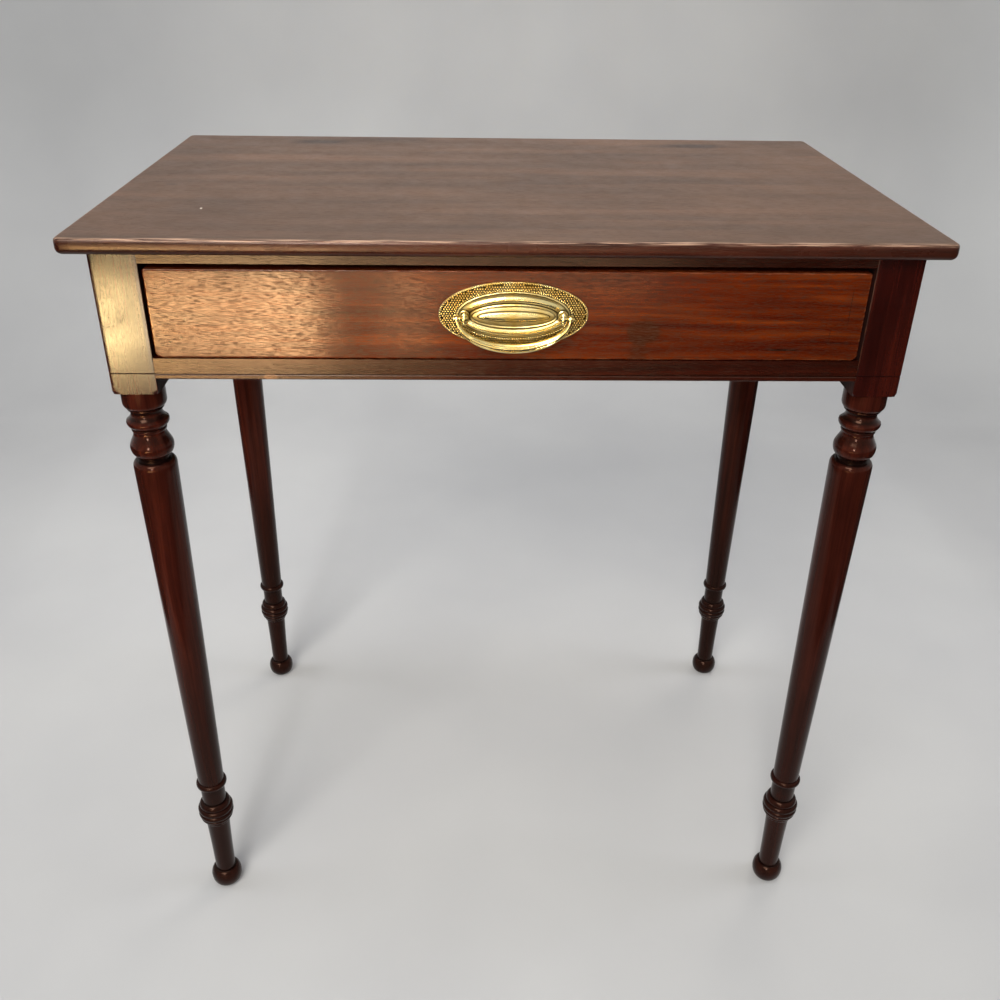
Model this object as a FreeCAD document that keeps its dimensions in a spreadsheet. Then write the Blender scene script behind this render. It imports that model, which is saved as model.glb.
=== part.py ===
# A mahogany side table with one frieze drawer, four turned legs and an oval brass bail pull.
# Millimetres. The table stands on z = 0, its front faces -Y, and x = y = 0 is the middle of the top.

import FreeCAD, Part
import os
from types import SimpleNamespace

import Sketcher
from FreeCAD import Rotation, Vector

sizes = {
    # Top board
    "table_height": 728.0,
    "top_width": 682.0,
    "top_depth": 424.0,
    "top_thickness": 13.0,
    "top_corner_cut": 3.5,
    "top_upper_round": 3.0,
    "top_lower_round": 5.0,
    "side_overhang": 19.0,
    "front_overhang": 14.0,
    "back_overhang": 10.0,
    # Square block at the head of each leg
    "block_width": 37.0,
    "block_height": 118.0,
    "pommel_radius": 24.8,
    "pommel_height": 4.0,
    # Turning, from the floor up to the shaft
    "foot_pad_radius": 11.2,
    "foot_radius": 16.0,
    "foot_height": 22.5,
    "ankle_radius": 10.4,
    "shank_height": 71.3,
    "shank_top_radius": 12.0,
    "shank_hollow": 0.2,
    "knop_lip_radius": 13.9,
    "knop_lip_height": 1.6,
    "knop_radius": 17.8,
    "knop_height": 27.9,
    "neck_radius": 12.1,
    "neck_height": 20.9,
    "astragal_radius": 15.4,
    "astragal_height": 7.6,
    # Tapered shaft
    "shaft_low_radius": 13.2,
    "shaft_top_radius": 18.4,
    "shaft_swell": 0.3,
    "shoulder_height": 3.2,
    # Turning, from the block down to the shaft
    "collar_radius": 18.2,
    "collar_height": 12.5,
    "ovolo_radius": 14.3,
    "ovolo_height": 6.0,
    "cove_radius": 12.9,
    "cove_height": 10.0,
    "ring_top_radius": 15.1,
    "ring_radius": 17.4,
    "ring_height": 8.5,
    "throat_radius": 13.4,
    "throat_height": 3.0,
    "onion_top_radius": 16.0,
    "onion_radius": 18.2,
    "onion_height": 16.5,
    "onion_neck_height": 6.0,
    "gap_radius": 13.0,
    "gap_height": 4.5,
    # Rails and their joints
    "rail_drop": 104.6,
    "rail_thickness": 20.0,
    "tenon_length": 20.0,
    "tenon_thickness": 8.0,
    "tenon_low_shoulder": 8.0,
    "tenon_top_shoulder": 22.0,
    "top_rail_thickness": 9.5,
    "dovetail_length": 14.0,
    "dovetail_neck": 16.0,
    "dovetail_flare": 3.0,
    "bottom_rail_thickness": 17.8,
    "twin_tenon_length": 15.0,
    "twin_tenon_width": 9.0,
    "twin_tenon_gap": 8.0,
    "twin_tenon_shoulder": 3.0,
    "joint_clearance": 0.1,
    "bead_height": 4.2,
    "quirk_width": 1.2,
    "quirk_depth": 1.3,
    "bead_round": 0.9,
    # Drawer carcase pieces fixed in the frame
    "runner_width": 34.0,
    "runner_thickness": 12.0,
    "guide_height": 13.0,
    "stop_length": 40.0,
    "stop_depth": 11.0,
    "stop_thickness": 4.5,
    "stop_offset": 170.0,
    "stop_gap": 0.3,
    "glue_block_length": 60.0,
    "glue_block_depth": 16.0,
    "glue_block_height": 22.0,
    "glue_block_lip": 6.0,
    "glue_block_spacing": 185.0,
    # Drawer
    "drawer_side_gap": 2.5,
    "drawer_top_gap": 4.4,
    "drawer_bottom_gap": 0.6,
    "drawer_set_back": 0.5,
    "drawer_tail_room": 22.0,
    "front_thickness": 20.0,
    "front_lap": 6.0,
    "lining_thickness": 9.0,
    "side_top_drop": 2.5,
    "back_top_drop": 5.0,
    "bottom_thickness": 7.0,
    "bottom_rise": 6.5,
    "groove_depth": 4.5,
    "groove_clearance": 0.2,
    "half_pin": 4.5,
    "pin_width": 5.0,
    "tail_flare": 2.0,
    "nail_width": 2.0,
    "nail_length": 24.0,
    "nail_head_width": 4.4,
    "nail_head_height": 0.8,
    "nail_spacing": 210.0,
    # Brass pull
    "handle_offset": 2.9,
    "handle_rise": 1.45,
    "plate_width": 118.4,
    "plate_height": 53.6,
    "plate_ground_height": 1.2,
    "border_width": 94.4,
    "border_height": 44.0,
    "border_rope_width": 2.6,
    "border_rise": 2.2,
    "dome_width": 86.8,
    "dome_height": 36.0,
    "dome_rise": 6.0,
    "dome_slope": 1.8,
    "oval_width": 69.0,
    "oval_height": 19.4,
    "oval_rise": 4.0,
    "almond_width": 56.2,
    "almond_height": 7.4,
    "almond_rise": 6.4,
    "plate_hollow": 1.4,
    "post_spacing": 77.5,
    "post_stem_radius": 2.4,
    "post_flange_radius": 3.4,
    "post_flange_height": 1.0,
    "post_seat": 2.6,
    "post_neck_radius": 2.0,
    "post_ball_radius": 3.6,
    "post_ball_end_radius": 1.8,
    "post_tail": 2.0,
    "post_clearance": 0.1,
    "pivot_stand_off": 10.8,
    "nut_width": 11.0,
    "nut_thickness": 3.5,
    "bail_width": 92.0,
    "bail_drop": 28.4,
    "bail_arm": 3.3,
    "bail_grip": 7.6,
    "bail_thickness": 4.6,
    "bail_slope": 1.2,
    "bail_knuckle_radius": 2.5,
    "bail_pin_radius": 1.3,
    "bail_pin_stub": 2.0,
    "bail_pin_length": 11.0,
    "bail_pin_clearance": 0.05,
    # How far a cut runs past the face it leaves by
    "overrun": 1.0,
}

# Shares of the sizes that they follow
pommel_reach_share = 0.8
bead_shares = (0.25, 0.75)
oval_end_share = 1.32
hollow_share = 0.94

# How near two lengths are when they count as the same
closeness = 1e-6

doc = FreeCAD.newDocument("SideTable")
sheet = doc.addObject("Spreadsheet::Sheet", "Sizes")
for row, (name, value) in enumerate(sizes.items(), start=1):
    sheet.set(f"A{row}", name)
    sheet.set(f"B{row}", str(value))
    sheet.setAlias(f"B{row}", name)
doc.recompute()


class Size:
    # A length worked out from the sheet: its value, and the expression that gives it there.
    def __init__(self, value, text):
        self.value = value
        self.text = text

    def __add__(self, other):
        return Size(self.value + other.value, f"({self.text} + {other.text})")

    def __sub__(self, other):
        return Size(self.value - other.value, f"({self.text} - {other.text})")

    def __neg__(self):
        return Size(-self.value, f"(-{self.text})")

    def __mul__(self, other):
        other = as_size(other)
        return Size(self.value * other.value, f"({self.text} * {other.text})")

    def __truediv__(self, other):
        other = as_size(other)
        return Size(self.value / other.value, f"({self.text} / {other.text})")


def as_size(number):
    return number if isinstance(number, Size) else Size(number, repr(number))


zero = Size(0.0, "0")
dim = SimpleNamespace(**{name: Size(sheet.get(name), f"Sizes.{name}") for name in sizes})

# Planes and lines that several pieces share
underside = dim.table_height - dim.top_thickness
block_bottom = underside - dim.block_height
half_block = dim.block_width / 2
leg_x = dim.top_width / 2 - dim.side_overhang - half_block
front_plane = dim.front_overhang - dim.top_depth / 2
back_plane = dim.top_depth / 2 - dim.back_overhang
front_leg_y = front_plane + half_block
rear_leg_y = back_plane - half_block
opening_x = leg_x - half_block
outer_x = leg_x + half_block
rail_inner_x = outer_x - dim.rail_thickness
frame_front_y = front_plane + dim.block_width
frame_rear_y = back_plane - dim.block_width
back_rail_y = back_plane - dim.rail_thickness
rail_bottom = underside - dim.rail_drop
tenon_bottom = rail_bottom + dim.tenon_low_shoulder
tenon_top = underside - dim.tenon_top_shoulder
top_rail_bottom = underside - dim.top_rail_thickness
runner_top = rail_bottom + dim.bottom_rail_thickness
bead_top = rail_bottom + dim.bead_height
runner_inner_x = rail_inner_x - dim.runner_width

drawer_x = opening_x - dim.drawer_side_gap
drawer_face_y = front_plane + dim.drawer_set_back
front_back_y = drawer_face_y + dim.front_thickness
lap_y = drawer_face_y + dim.front_lap
drawer_end_y = back_rail_y - dim.drawer_tail_room
back_front_y = drawer_end_y - dim.lining_thickness
drawer_low = runner_top + dim.drawer_bottom_gap
drawer_top = top_rail_bottom - dim.drawer_top_gap
side_top = drawer_top - dim.side_top_drop
bottom_low = drawer_low + dim.bottom_rise
bottom_top = bottom_low + dim.bottom_thickness
back_low = bottom_top + dim.groove_clearance
back_top = side_top - dim.back_top_drop
lining_inner_x = drawer_x - dim.lining_thickness

handle_z = (drawer_low + drawer_top) / 2 + dim.handle_rise
pivot_y = drawer_face_y - dim.pivot_stand_off
half_posts = dim.post_spacing / 2


def bind(thing, target, length):
    thing.setExpression(target, length.text)


def place(thing, x, y, z):
    bind(thing, "Placement.Base.x", x)
    bind(thing, "Placement.Base.y", y)
    bind(thing, "Placement.Base.z", z)


# Sketches: every corner is held at its distances from the sketch's axes

def hold(sketch, kind, geometry, end, axis, distance):
    if distance.value == 0:
        sketch.addConstraint(Sketcher.Constraint("PointOnObject", geometry, end, axis))
        return
    ahead = distance.value > 0
    held = distance if ahead else -distance
    ends = (-1, 1, geometry, end) if ahead else (geometry, end, -1, 1)
    index = sketch.addConstraint(Sketcher.Constraint(kind, *ends, held.value))
    sketch.setExpression(f"Constraints[{index}]", held.text)


def hold_point(sketch, geometry, end, x, y):
    hold(sketch, "DistanceX", geometry, end, -2, x)
    hold(sketch, "DistanceY", geometry, end, -1, y)


def hold_radius(sketch, geometry, radius):
    index = sketch.addConstraint(Sketcher.Constraint("Radius", geometry, radius.value))
    sketch.setExpression(f"Constraints[{index}]", radius.text)


def arc_radius(start, end, bulge):
    # Radius of the arc that stands a bulge off the chord from start to end.
    run = end[0] - start[0]
    rise = end[1] - start[1]
    return (run * run + rise * rise) / (bulge * 8) + bulge / 2


def bulged_arc(sketch, start, end):
    ends = [Vector(point[0].value, point[1].value, 0) for point in (start, end)]
    along = (ends[1] - ends[0]).normalize()
    middle = (ends[0] + ends[1]) / 2 + Vector(along.y, -along.x, 0) * start[2].value
    geometry = sketch.addGeometry(Part.Arc(ends[0], middle, ends[1]))
    hold_radius(sketch, geometry, arc_radius(start, end, start[2]))
    return geometry


def slow_curve(sketch, start, lean, end):
    curve = Part.BSplineCurve()
    poles = [start, Vector(lean[0].value, lean[1].value, 0), end]
    curve.buildFromPolesMultsKnots(poles, [3, 3], [0, 1], False, 2)
    geometry = sketch.addGeometry(curve)
    sketch.exposeInternalGeometry(geometry)
    # The curve's three poles follow it in the sketch; the middle one gives the lean.
    hold_point(sketch, geometry + 2, 3, lean[0], lean[1])
    return geometry


def draw_outline(sketch, corners):
    # A closed outline. A corner's third value, if any, is the bulge of the arc to the next corner, to the
    # right of the way along the outline, or the point that a slow curve to the next corner leans to.
    spans = []
    for corner, after in zip(corners, corners[1:] + corners[:1]):
        start = Vector(corner[0].value, corner[1].value, 0)
        end = Vector(after[0].value, after[1].value, 0)
        if len(corner) == 2:
            spans.append((sketch.addGeometry(Part.LineSegment(start, end)), 1, 2))
            continue
        if isinstance(corner[2], tuple):
            geometry = slow_curve(sketch, start, corner[2], end)
        else:
            geometry = bulged_arc(sketch, corner, after)
        spans.append((geometry, 1, 2))
    for (first, _, first_end), (second, second_start, _) in zip(spans, spans[1:] + spans[:1]):
        sketch.addConstraint(Sketcher.Constraint("Coincident", first, first_end, second, second_start))
    for (geometry, start_end, _), corner in zip(spans, corners):
        hold_point(sketch, geometry, start_end, corner[0], corner[1])


def draw_rectangle(sketch, left, right, low, high):
    draw_outline(sketch, [(left, low), (right, low), (right, high), (left, high)])


def draw_circle(sketch, x, y, radius):
    circle = Part.Circle(Vector(x.value, y.value, 0), Vector(0, 0, 1), radius.value)
    geometry = sketch.addGeometry(circle)
    hold_radius(sketch, geometry, radius)
    hold_point(sketch, geometry, 3, x, y)


# Features of a body

def new_body(label):
    body = doc.addObject("PartDesign::Body", label)
    body.Label = label
    return body


def add_sketch(body, plane, offset=zero):
    # The planes face +Z (XY), -Y (XZ) and +X (YZ); the offset runs that way.
    sketch = body.newObject("Sketcher::SketchObject", f"{body.Name}_outline")
    support = next(item for item in body.Origin.OriginFeatures if item.Role == f"{plane}_Plane")
    sketch.AttachmentSupport = [(support, "")]
    sketch.MapMode = "FlatFace"
    bind(sketch, "AttachmentOffset.Base.z", offset)
    return sketch


def pad(body, sketch, length):
    feature = body.newObject("PartDesign::Pad", f"{body.Name}_pad")
    feature.Profile = sketch
    bind(feature, "Length", length)
    doc.recompute()
    return feature


def cut(body, kind, sketch):
    feature = body.newObject(f"PartDesign::{kind}", f"{body.Name}_{kind.lower()}")
    feature.Profile = sketch
    return feature


def check_cut(body, before):
    doc.recompute()
    if not body.Shape.Volume < before:
        raise RuntimeError(f"a cut in {body.Label} removes nothing")


def pocket(body, sketch, depth, ahead=False):
    # Cuts against the way that the sketch faces, or that way if ahead.
    before = body.Shape.Volume
    feature = cut(body, "Pocket", sketch)
    bind(feature, "Length", depth)
    feature.Reversed = ahead
    check_cut(body, before)


def groove(body, sketch):
    before = body.Shape.Volume
    feature = cut(body, "Groove", sketch)
    feature.ReferenceAxis = (sketch, ["V_Axis"])
    check_cut(body, before)


def revolve(body, sketch):
    feature = body.newObject("PartDesign::Revolution", f"{body.Name}_turning")
    feature.Profile = sketch
    feature.ReferenceAxis = (sketch, ["V_Axis"])
    doc.recompute()


def dress_edges(body, kind, target, length, chosen):
    # Works the edges of the body's last feature that the test chooses.
    base = body.Tip
    names = [f"Edge{index}" for index, edge in enumerate(base.Shape.Edges, start=1) if chosen(edge)]
    feature = body.newObject(f"PartDesign::{kind}", f"{body.Name}_{kind.lower()}")
    feature.Base = (base, names)
    bind(feature, target, length)
    doc.recompute()


def round_edges(body, radius, chosen):
    dress_edges(body, "Fillet", "Radius", radius, chosen)


def slope_edges(body, size, chosen):
    dress_edges(body, "Chamfer", "Size", size, chosen)


def lies_at(**planes):
    # Tests whether an edge lies in all of the planes given, such as z=height.
    def in_planes(edge):
        return all(
            abs(getattr(vertex.Point, axis) - place.value) < closeness
            for vertex in edge.Vertexes
            for axis, place in planes.items()
        )
    return in_planes


def board(label, left, right, front, back, low, high):
    body = new_body(label)
    sketch = add_sketch(body, "XY", low)
    draw_rectangle(sketch, left, right, front, back)
    pad(body, sketch, high - low)
    return body


def mirror(source, label, plane_x=zero):
    twin = doc.addObject("Part::Mirroring", label)
    twin.Label = label
    twin.Source = source
    twin.Normal = Vector(1, 0, 0)
    bind(twin, "Base.x", plane_x)
    return twin


def group(label, pieces):
    compound = doc.addObject("Part::Compound", label)
    compound.Label = label
    compound.Links = pieces
    return compound


def primitive(kind, name, x, y, z, axis=None, **lengths):
    # A Part primitive with its corner or base at x, y, z and its own axis along the one given.
    piece = doc.addObject(f"Part::{kind}", name)
    if axis is not None:
        piece.Placement.Rotation = Rotation(Vector(0, 0, 1), axis)
    for target, length in lengths.items():
        bind(piece, target, length)
    place(piece, x, y, z)
    return piece


def combine(kind, label, pieces):
    whole = doc.addObject(f"Part::{kind}", label)
    whole.Label = label
    if kind == "Cut":
        whole.Base, whole.Tool = pieces
    else:
        whole.Shapes = pieces
    return whole


# Frame

def make_top():
    body = new_body("top_board")
    sketch = add_sketch(body, "XY", underside)
    x = dim.top_width / 2
    y = dim.top_depth / 2
    corner = dim.top_corner_cut
    draw_outline(sketch, [
        (corner - x, -y),
        (x - corner, -y),
        (x, corner - y),
        (x, y - corner),
        (x - corner, y),
        (corner - x, y),
        (-x, y - corner),
        (-x, corner - y),
    ])
    pad(body, sketch, dim.top_thickness)
    round_edges(body, dim.top_upper_round, lies_at(z=dim.table_height))
    round_edges(body, dim.top_lower_round, lies_at(z=underside))


def bead(low, high, radius, shares=bead_shares):
    # A bead or a hollow turned between two heights, in three flats.
    return [(radius, low + (high - low) * share) for share in shares]


def leg_profile():
    # Half of the turning, from the floor up.
    shank = dim.foot_height + dim.shank_height
    lip = shank + dim.knop_lip_height
    knop = lip + dim.knop_height
    neck = knop + dim.neck_height
    shaft_low = neck + dim.astragal_height
    collar = block_bottom - dim.collar_height
    ovolo = collar - dim.ovolo_height
    cove = ovolo - dim.cove_height
    ring = cove - dim.ring_height
    throat = ring - dim.throat_height
    onion = throat - dim.onion_neck_height
    gap = onion - dim.onion_height
    shaft_top = gap - dim.gap_height
    shoulder = shaft_top - dim.shoulder_height
    shank_lean = (dim.ankle_radius + dim.shank_top_radius) / 2 - dim.shank_hollow
    shaft_lean = (dim.shaft_low_radius + dim.shaft_top_radius) / 2 + dim.shaft_swell
    return [
        (zero, zero),
        (dim.foot_pad_radius, zero),
        *bead(zero, dim.foot_height, dim.foot_radius),
        (dim.ankle_radius, dim.foot_height, (shank_lean, (dim.foot_height + shank) / 2)),
        (dim.shank_top_radius, shank),
        (dim.knop_lip_radius, lip),
        *bead(lip, knop, dim.knop_radius),
        (dim.neck_radius, knop),
        (dim.neck_radius, neck),
        *bead(neck, shaft_low, dim.astragal_radius),
        (dim.shaft_low_radius, shaft_low, (shaft_lean, (shaft_low + shoulder) / 2)),
        (dim.shaft_top_radius, shoulder),
        (dim.gap_radius, shaft_top),
        (dim.gap_radius, gap),
        *bead(gap, onion, dim.onion_radius),
        (dim.onion_top_radius, onion),
        (dim.throat_radius, throat),
        (dim.ring_top_radius, ring),
        *bead(ring, cove, dim.ring_radius),
        (dim.ring_top_radius, cove),
        *bead(cove, ovolo, dim.cove_radius),
        (dim.ovolo_radius, ovolo),
        (dim.collar_radius, collar),
        (dim.collar_radius, block_bottom),
        (zero, block_bottom),
    ]


def make_leg(label, axis_y):
    # A left leg on its own axis: turned below, square above.
    body = new_body(label)
    place(body, -leg_x, axis_y, zero)
    turning = add_sketch(body, "XZ")
    draw_outline(turning, leg_profile())
    revolve(body, turning)
    block = add_sketch(body, "XY", block_bottom)
    draw_rectangle(block, -half_block, half_block, -half_block, half_block)
    pad(body, block, dim.block_height)
    # The lathe rounds the lower corners of the block.
    pommel = add_sketch(body, "XZ")
    reach = dim.block_width * pommel_reach_share
    draw_outline(pommel, [
        (dim.pommel_radius, block_bottom),
        (reach, block_bottom),
        (reach, block_bottom + dim.pommel_height),
    ])
    groove(body, pommel)
    return body


def mortise_span(middle):
    half = dim.tenon_thickness / 2 + dim.joint_clearance
    return middle - half, middle + half


def side_mortise(body, face, ahead):
    # The mortise for a side rail, in the leg's face at y = face.
    sketch = add_sketch(body, "XZ", -face)
    low = tenon_bottom - dim.joint_clearance
    high = tenon_top + dim.joint_clearance
    draw_rectangle(sketch, *mortise_span(dim.rail_thickness / 2 - half_block), low, high)
    pocket(body, sketch, dim.tenon_length + dim.joint_clearance, ahead)


def twin_tenons(clearance):
    # Spans across the rail of its two tenons, from the rail's front face.
    middle = half_block
    inner = dim.twin_tenon_gap / 2 - clearance
    outer = dim.twin_tenon_gap / 2 + dim.twin_tenon_width + clearance
    return [(middle - outer, middle - inner), (middle + inner, middle + outer)]


def dovetail(clearance):
    # Half widths of the top rail's dovetail at its neck and at its end.
    neck = dim.dovetail_neck / 2 + clearance
    return neck, neck + dim.dovetail_flare


def make_front_leg():
    body = make_leg("front_left_leg", front_leg_y)
    side_mortise(body, half_block, ahead=True)
    twin = add_sketch(body, "YZ", half_block)
    low = rail_bottom + dim.twin_tenon_shoulder - dim.joint_clearance
    high = runner_top - dim.twin_tenon_shoulder + dim.joint_clearance
    for near, far in twin_tenons(dim.joint_clearance):
        draw_rectangle(twin, near - half_block, far - half_block, low, high)
    pocket(body, twin, dim.twin_tenon_length + dim.joint_clearance)
    socket = add_sketch(body, "XY", underside)
    neck, end = dovetail(dim.joint_clearance)
    depth = half_block - dim.dovetail_length - dim.joint_clearance
    draw_outline(socket, [
        (half_block, neck),
        (depth, end),
        (depth, -end),
        (half_block, -neck),
    ])
    pocket(body, socket, dim.top_rail_thickness)
    # The scratched line that carries the rail's bead across the leg.
    quirk = add_sketch(body, "XZ", half_block)
    draw_rectangle(quirk, -half_block, half_block, bead_top, bead_top + dim.quirk_width)
    pocket(body, quirk, dim.quirk_depth)
    mirror(body, "front_right_leg")


def make_rear_leg():
    body = make_leg("rear_left_leg", rear_leg_y)
    side_mortise(body, -half_block, ahead=False)
    sketch = add_sketch(body, "YZ", half_block)
    low = tenon_bottom - dim.joint_clearance
    high = tenon_top + dim.joint_clearance
    draw_rectangle(sketch, *mortise_span(half_block - dim.rail_thickness / 2), low, high)
    pocket(body, sketch, dim.tenon_length + dim.joint_clearance)
    mirror(body, "rear_right_leg")


def make_side_rails():
    body = board("left_side_rail", -outer_x, -rail_inner_x, frame_front_y, frame_rear_y,
                 rail_bottom, underside)
    middle = dim.rail_thickness / 2 - outer_x
    half = dim.tenon_thickness / 2
    tenon = add_sketch(body, "XZ", dim.tenon_length - frame_front_y)
    draw_rectangle(tenon, middle - half, middle + half, tenon_bottom, tenon_top)
    run = frame_rear_y - frame_front_y + dim.tenon_length * 2
    pad(body, tenon, run).Reversed = True
    mirror(body, "right_side_rail")


def make_back_rail():
    body = board("back_rail", -opening_x, opening_x, back_rail_y, back_plane, rail_bottom, underside)
    middle = back_plane - dim.rail_thickness / 2
    half = dim.tenon_thickness / 2
    tenon = add_sketch(body, "YZ", -opening_x - dim.tenon_length)
    draw_rectangle(tenon, middle - half, middle + half, tenon_bottom, tenon_top)
    pad(body, tenon, opening_x * 2 + dim.tenon_length * 2)


def make_front_top_rail():
    body = new_body("front_top_rail")
    sketch = add_sketch(body, "XY", top_rail_bottom)
    neck, end = dovetail(zero)
    middle = front_leg_y
    tip = opening_x + dim.dovetail_length
    draw_outline(sketch, [
        (-opening_x, front_plane),
        (opening_x, front_plane),
        (opening_x, middle - neck),
        (tip, middle - end),
        (tip, middle + end),
        (opening_x, middle + neck),
        (opening_x, frame_front_y),
        (-opening_x, frame_front_y),
        (-opening_x, middle + neck),
        (-tip, middle + end),
        (-tip, middle - end),
        (-opening_x, middle - neck),
    ])
    pad(body, sketch, dim.top_rail_thickness)


def make_front_bottom_rail():
    body = board("front_bottom_rail", -opening_x, opening_x, front_plane, frame_front_y,
                 rail_bottom, runner_top)
    tenons = add_sketch(body, "YZ", -opening_x - dim.twin_tenon_length)
    low = rail_bottom + dim.twin_tenon_shoulder
    high = runner_top - dim.twin_tenon_shoulder
    for near, far in twin_tenons(zero):
        draw_rectangle(tenons, front_plane + near, front_plane + far, low, high)
    pad(body, tenons, opening_x * 2 + dim.twin_tenon_length * 2)
    quirk = add_sketch(body, "XZ", -front_plane)
    draw_rectangle(quirk, -opening_x, opening_x, bead_top, bead_top + dim.quirk_width)
    pocket(body, quirk, dim.quirk_depth)

    for edge_height in (rail_bottom, bead_top):
        round_edges(body, dim.bead_round, lies_at(y=front_plane, z=edge_height))


def notched_strip(label, low, high):
    # A strip along the left side rail, cut round the rear leg's block, up to the back rail.
    body = new_body(label)
    sketch = add_sketch(body, "XY", low)
    draw_outline(sketch, [
        (-rail_inner_x, frame_front_y),
        (-runner_inner_x, frame_front_y),
        (-runner_inner_x, back_rail_y),
        (-opening_x, back_rail_y),
        (-opening_x, frame_rear_y),
        (-rail_inner_x, frame_rear_y),
    ])
    pad(body, sketch, high - low)
    return body


def make_drawer_supports():
    mirror(notched_strip("left_runner", runner_top - dim.runner_thickness, runner_top), "right_runner")
    guide = board("left_guide", -rail_inner_x, -opening_x, frame_front_y, frame_rear_y,
                  runner_top, runner_top + dim.guide_height)
    mirror(guide, "right_guide")
    mirror(notched_strip("left_kicker", top_rail_bottom, underside), "right_kicker")


def make_stops():
    # Two blocks on the bottom rail that the drawer front meets from behind.
    pieces = []
    for side in (-1, 1):
        x = dim.stop_offset * side - dim.stop_length / 2
        pieces.append(primitive("Box", "stop", x, front_back_y + dim.stop_gap, runner_top,
                                Length=dim.stop_length, Width=dim.stop_depth, Height=dim.stop_thickness))
    group("drawer_stops", pieces)


def make_glue_blocks():
    # Wedge blocks in the angle of the back rail and the top.
    pieces = []
    for step in (-1, 0, 1):
        left = dim.glue_block_spacing * step - dim.glue_block_length / 2
        right = left + dim.glue_block_length
        block = doc.addObject("Part::Wedge", "glue_block")
        bind(block, "Xmin", left)
        bind(block, "Xmax", right)
        bind(block, "X2min", left)
        bind(block, "X2max", right)
        bind(block, "Ymin", back_rail_y - dim.glue_block_depth)
        bind(block, "Ymax", back_rail_y)
        bind(block, "Zmin", underside - dim.glue_block_lip)
        bind(block, "Zmax", underside)
        bind(block, "Z2min", underside - dim.glue_block_height)
        bind(block, "Z2max", underside)
        pieces.append(block)
    group("glue_blocks", pieces)


# Drawer

def tail_edges(low, high, count):
    # Heights of the lower and upper edge of each tail at its root, between half pins.
    inner = high - low - dim.half_pin * 2 - dim.pin_width * (count - 1)
    tail = inner / count
    edges = []
    for index in range(count):
        start = low + dim.half_pin + (tail + dim.pin_width) * index
        edges.append((start, start + tail))
    return edges


front_tails = tail_edges(drawer_low, side_top, 3)
back_tails = tail_edges(back_low, back_top, 2)


def draw_tails(sketch, tails, root, end, clearance):
    for low, high in tails:
        draw_outline(sketch, [
            (root, low - clearance),
            (end, low - dim.tail_flare - clearance),
            (end, high + dim.tail_flare + clearance),
            (root, high + clearance),
        ])


def draw_pins(sketch, tails, low, high, root, end):
    # The waste between the tails, which runs out past the end of the board.
    beyond = end + (dim.overrun if end.value > root.value else -dim.overrun)
    lows = [low] + [top for _, top in tails]
    highs = [bottom for bottom, _ in tails] + [high]
    for index, (start, stop) in enumerate(zip(lows, highs)):
        flare_low = zero if index == 0 else dim.tail_flare
        flare_high = zero if index == len(tails) else dim.tail_flare
        draw_outline(sketch, [
            (root, start),
            (end, start + flare_low),
            (beyond, start + flare_low),
            (beyond, stop - flare_high),
            (end, stop - flare_high),
            (root, stop),
        ])


def make_drawer_sides():
    body = new_body("drawer_left_side")
    sketch = add_sketch(body, "YZ", -drawer_x)
    draw_rectangle(sketch, lap_y, drawer_end_y, drawer_low, side_top)
    pad(body, sketch, dim.lining_thickness)
    front_pins = add_sketch(body, "YZ", -drawer_x)
    draw_pins(front_pins, front_tails, drawer_low - dim.overrun, side_top + dim.overrun,
              front_back_y, lap_y)
    pocket(body, front_pins, dim.lining_thickness, ahead=True)
    back_pins = add_sketch(body, "YZ", -drawer_x)
    draw_pins(back_pins, back_tails, back_low, back_top, back_front_y, drawer_end_y)
    pocket(body, back_pins, dim.lining_thickness, ahead=True)
    # The groove runs on through the tail, in line with the groove in the front.
    slot_start = front_back_y - dim.groove_depth
    slot = add_sketch(body, "XZ", -slot_start)
    draw_rectangle(slot, -lining_inner_x - dim.groove_depth, -lining_inner_x + dim.overrun,
                   bottom_low - dim.groove_clearance, bottom_top + dim.groove_clearance)
    pocket(body, slot, drawer_end_y - slot_start + dim.overrun)
    mirror(body, "drawer_right_side")


def make_drawer_front():
    body = board("drawer_front", -drawer_x, drawer_x, drawer_face_y, front_back_y, drawer_low, drawer_top)
    socket_end = lap_y - dim.joint_clearance
    socket_depth = dim.lining_thickness + dim.joint_clearance
    for side in (-1, 1):
        sockets = add_sketch(body, "YZ", drawer_x * side)
        draw_tails(sockets, front_tails, front_back_y, socket_end, dim.joint_clearance)
        pocket(body, sockets, socket_depth, ahead=side < 0)
    slot = add_sketch(body, "YZ", -drawer_x)
    draw_rectangle(slot, front_back_y - dim.groove_depth, front_back_y,
                   bottom_low - dim.groove_clearance, bottom_top + dim.groove_clearance)
    pocket(body, slot, drawer_x * 2, ahead=True)
    bolts = add_sketch(body, "XZ", -drawer_face_y)
    for side in (-1, 1):
        draw_circle(bolts, dim.handle_offset + half_posts * side, handle_z,
                    dim.post_stem_radius + dim.post_clearance)
    pocket(body, bolts, dim.front_thickness)


def make_drawer_back():
    body = board("drawer_back", -drawer_x, drawer_x, back_front_y, drawer_end_y, back_low, back_top)
    for side in (-1, 1):
        sockets = add_sketch(body, "YZ", drawer_x * side)
        draw_tails(sockets, back_tails, back_front_y, drawer_end_y, dim.joint_clearance)
        pocket(body, sockets, dim.lining_thickness, ahead=side < 0)
    nail_holes(body, back_low, bottom_low + dim.nail_length - back_low)


def make_drawer_bottom():
    reach = dim.groove_depth - dim.groove_clearance
    body = board("drawer_bottom", -lining_inner_x - reach, lining_inner_x + reach,
                 front_back_y - reach, drawer_end_y, bottom_low, bottom_top)
    nail_holes(body, bottom_low, dim.bottom_thickness)


nail_y = drawer_end_y - dim.lining_thickness / 2
nail_places = [dim.nail_spacing * step for step in (-1, 0, 1)]


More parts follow.
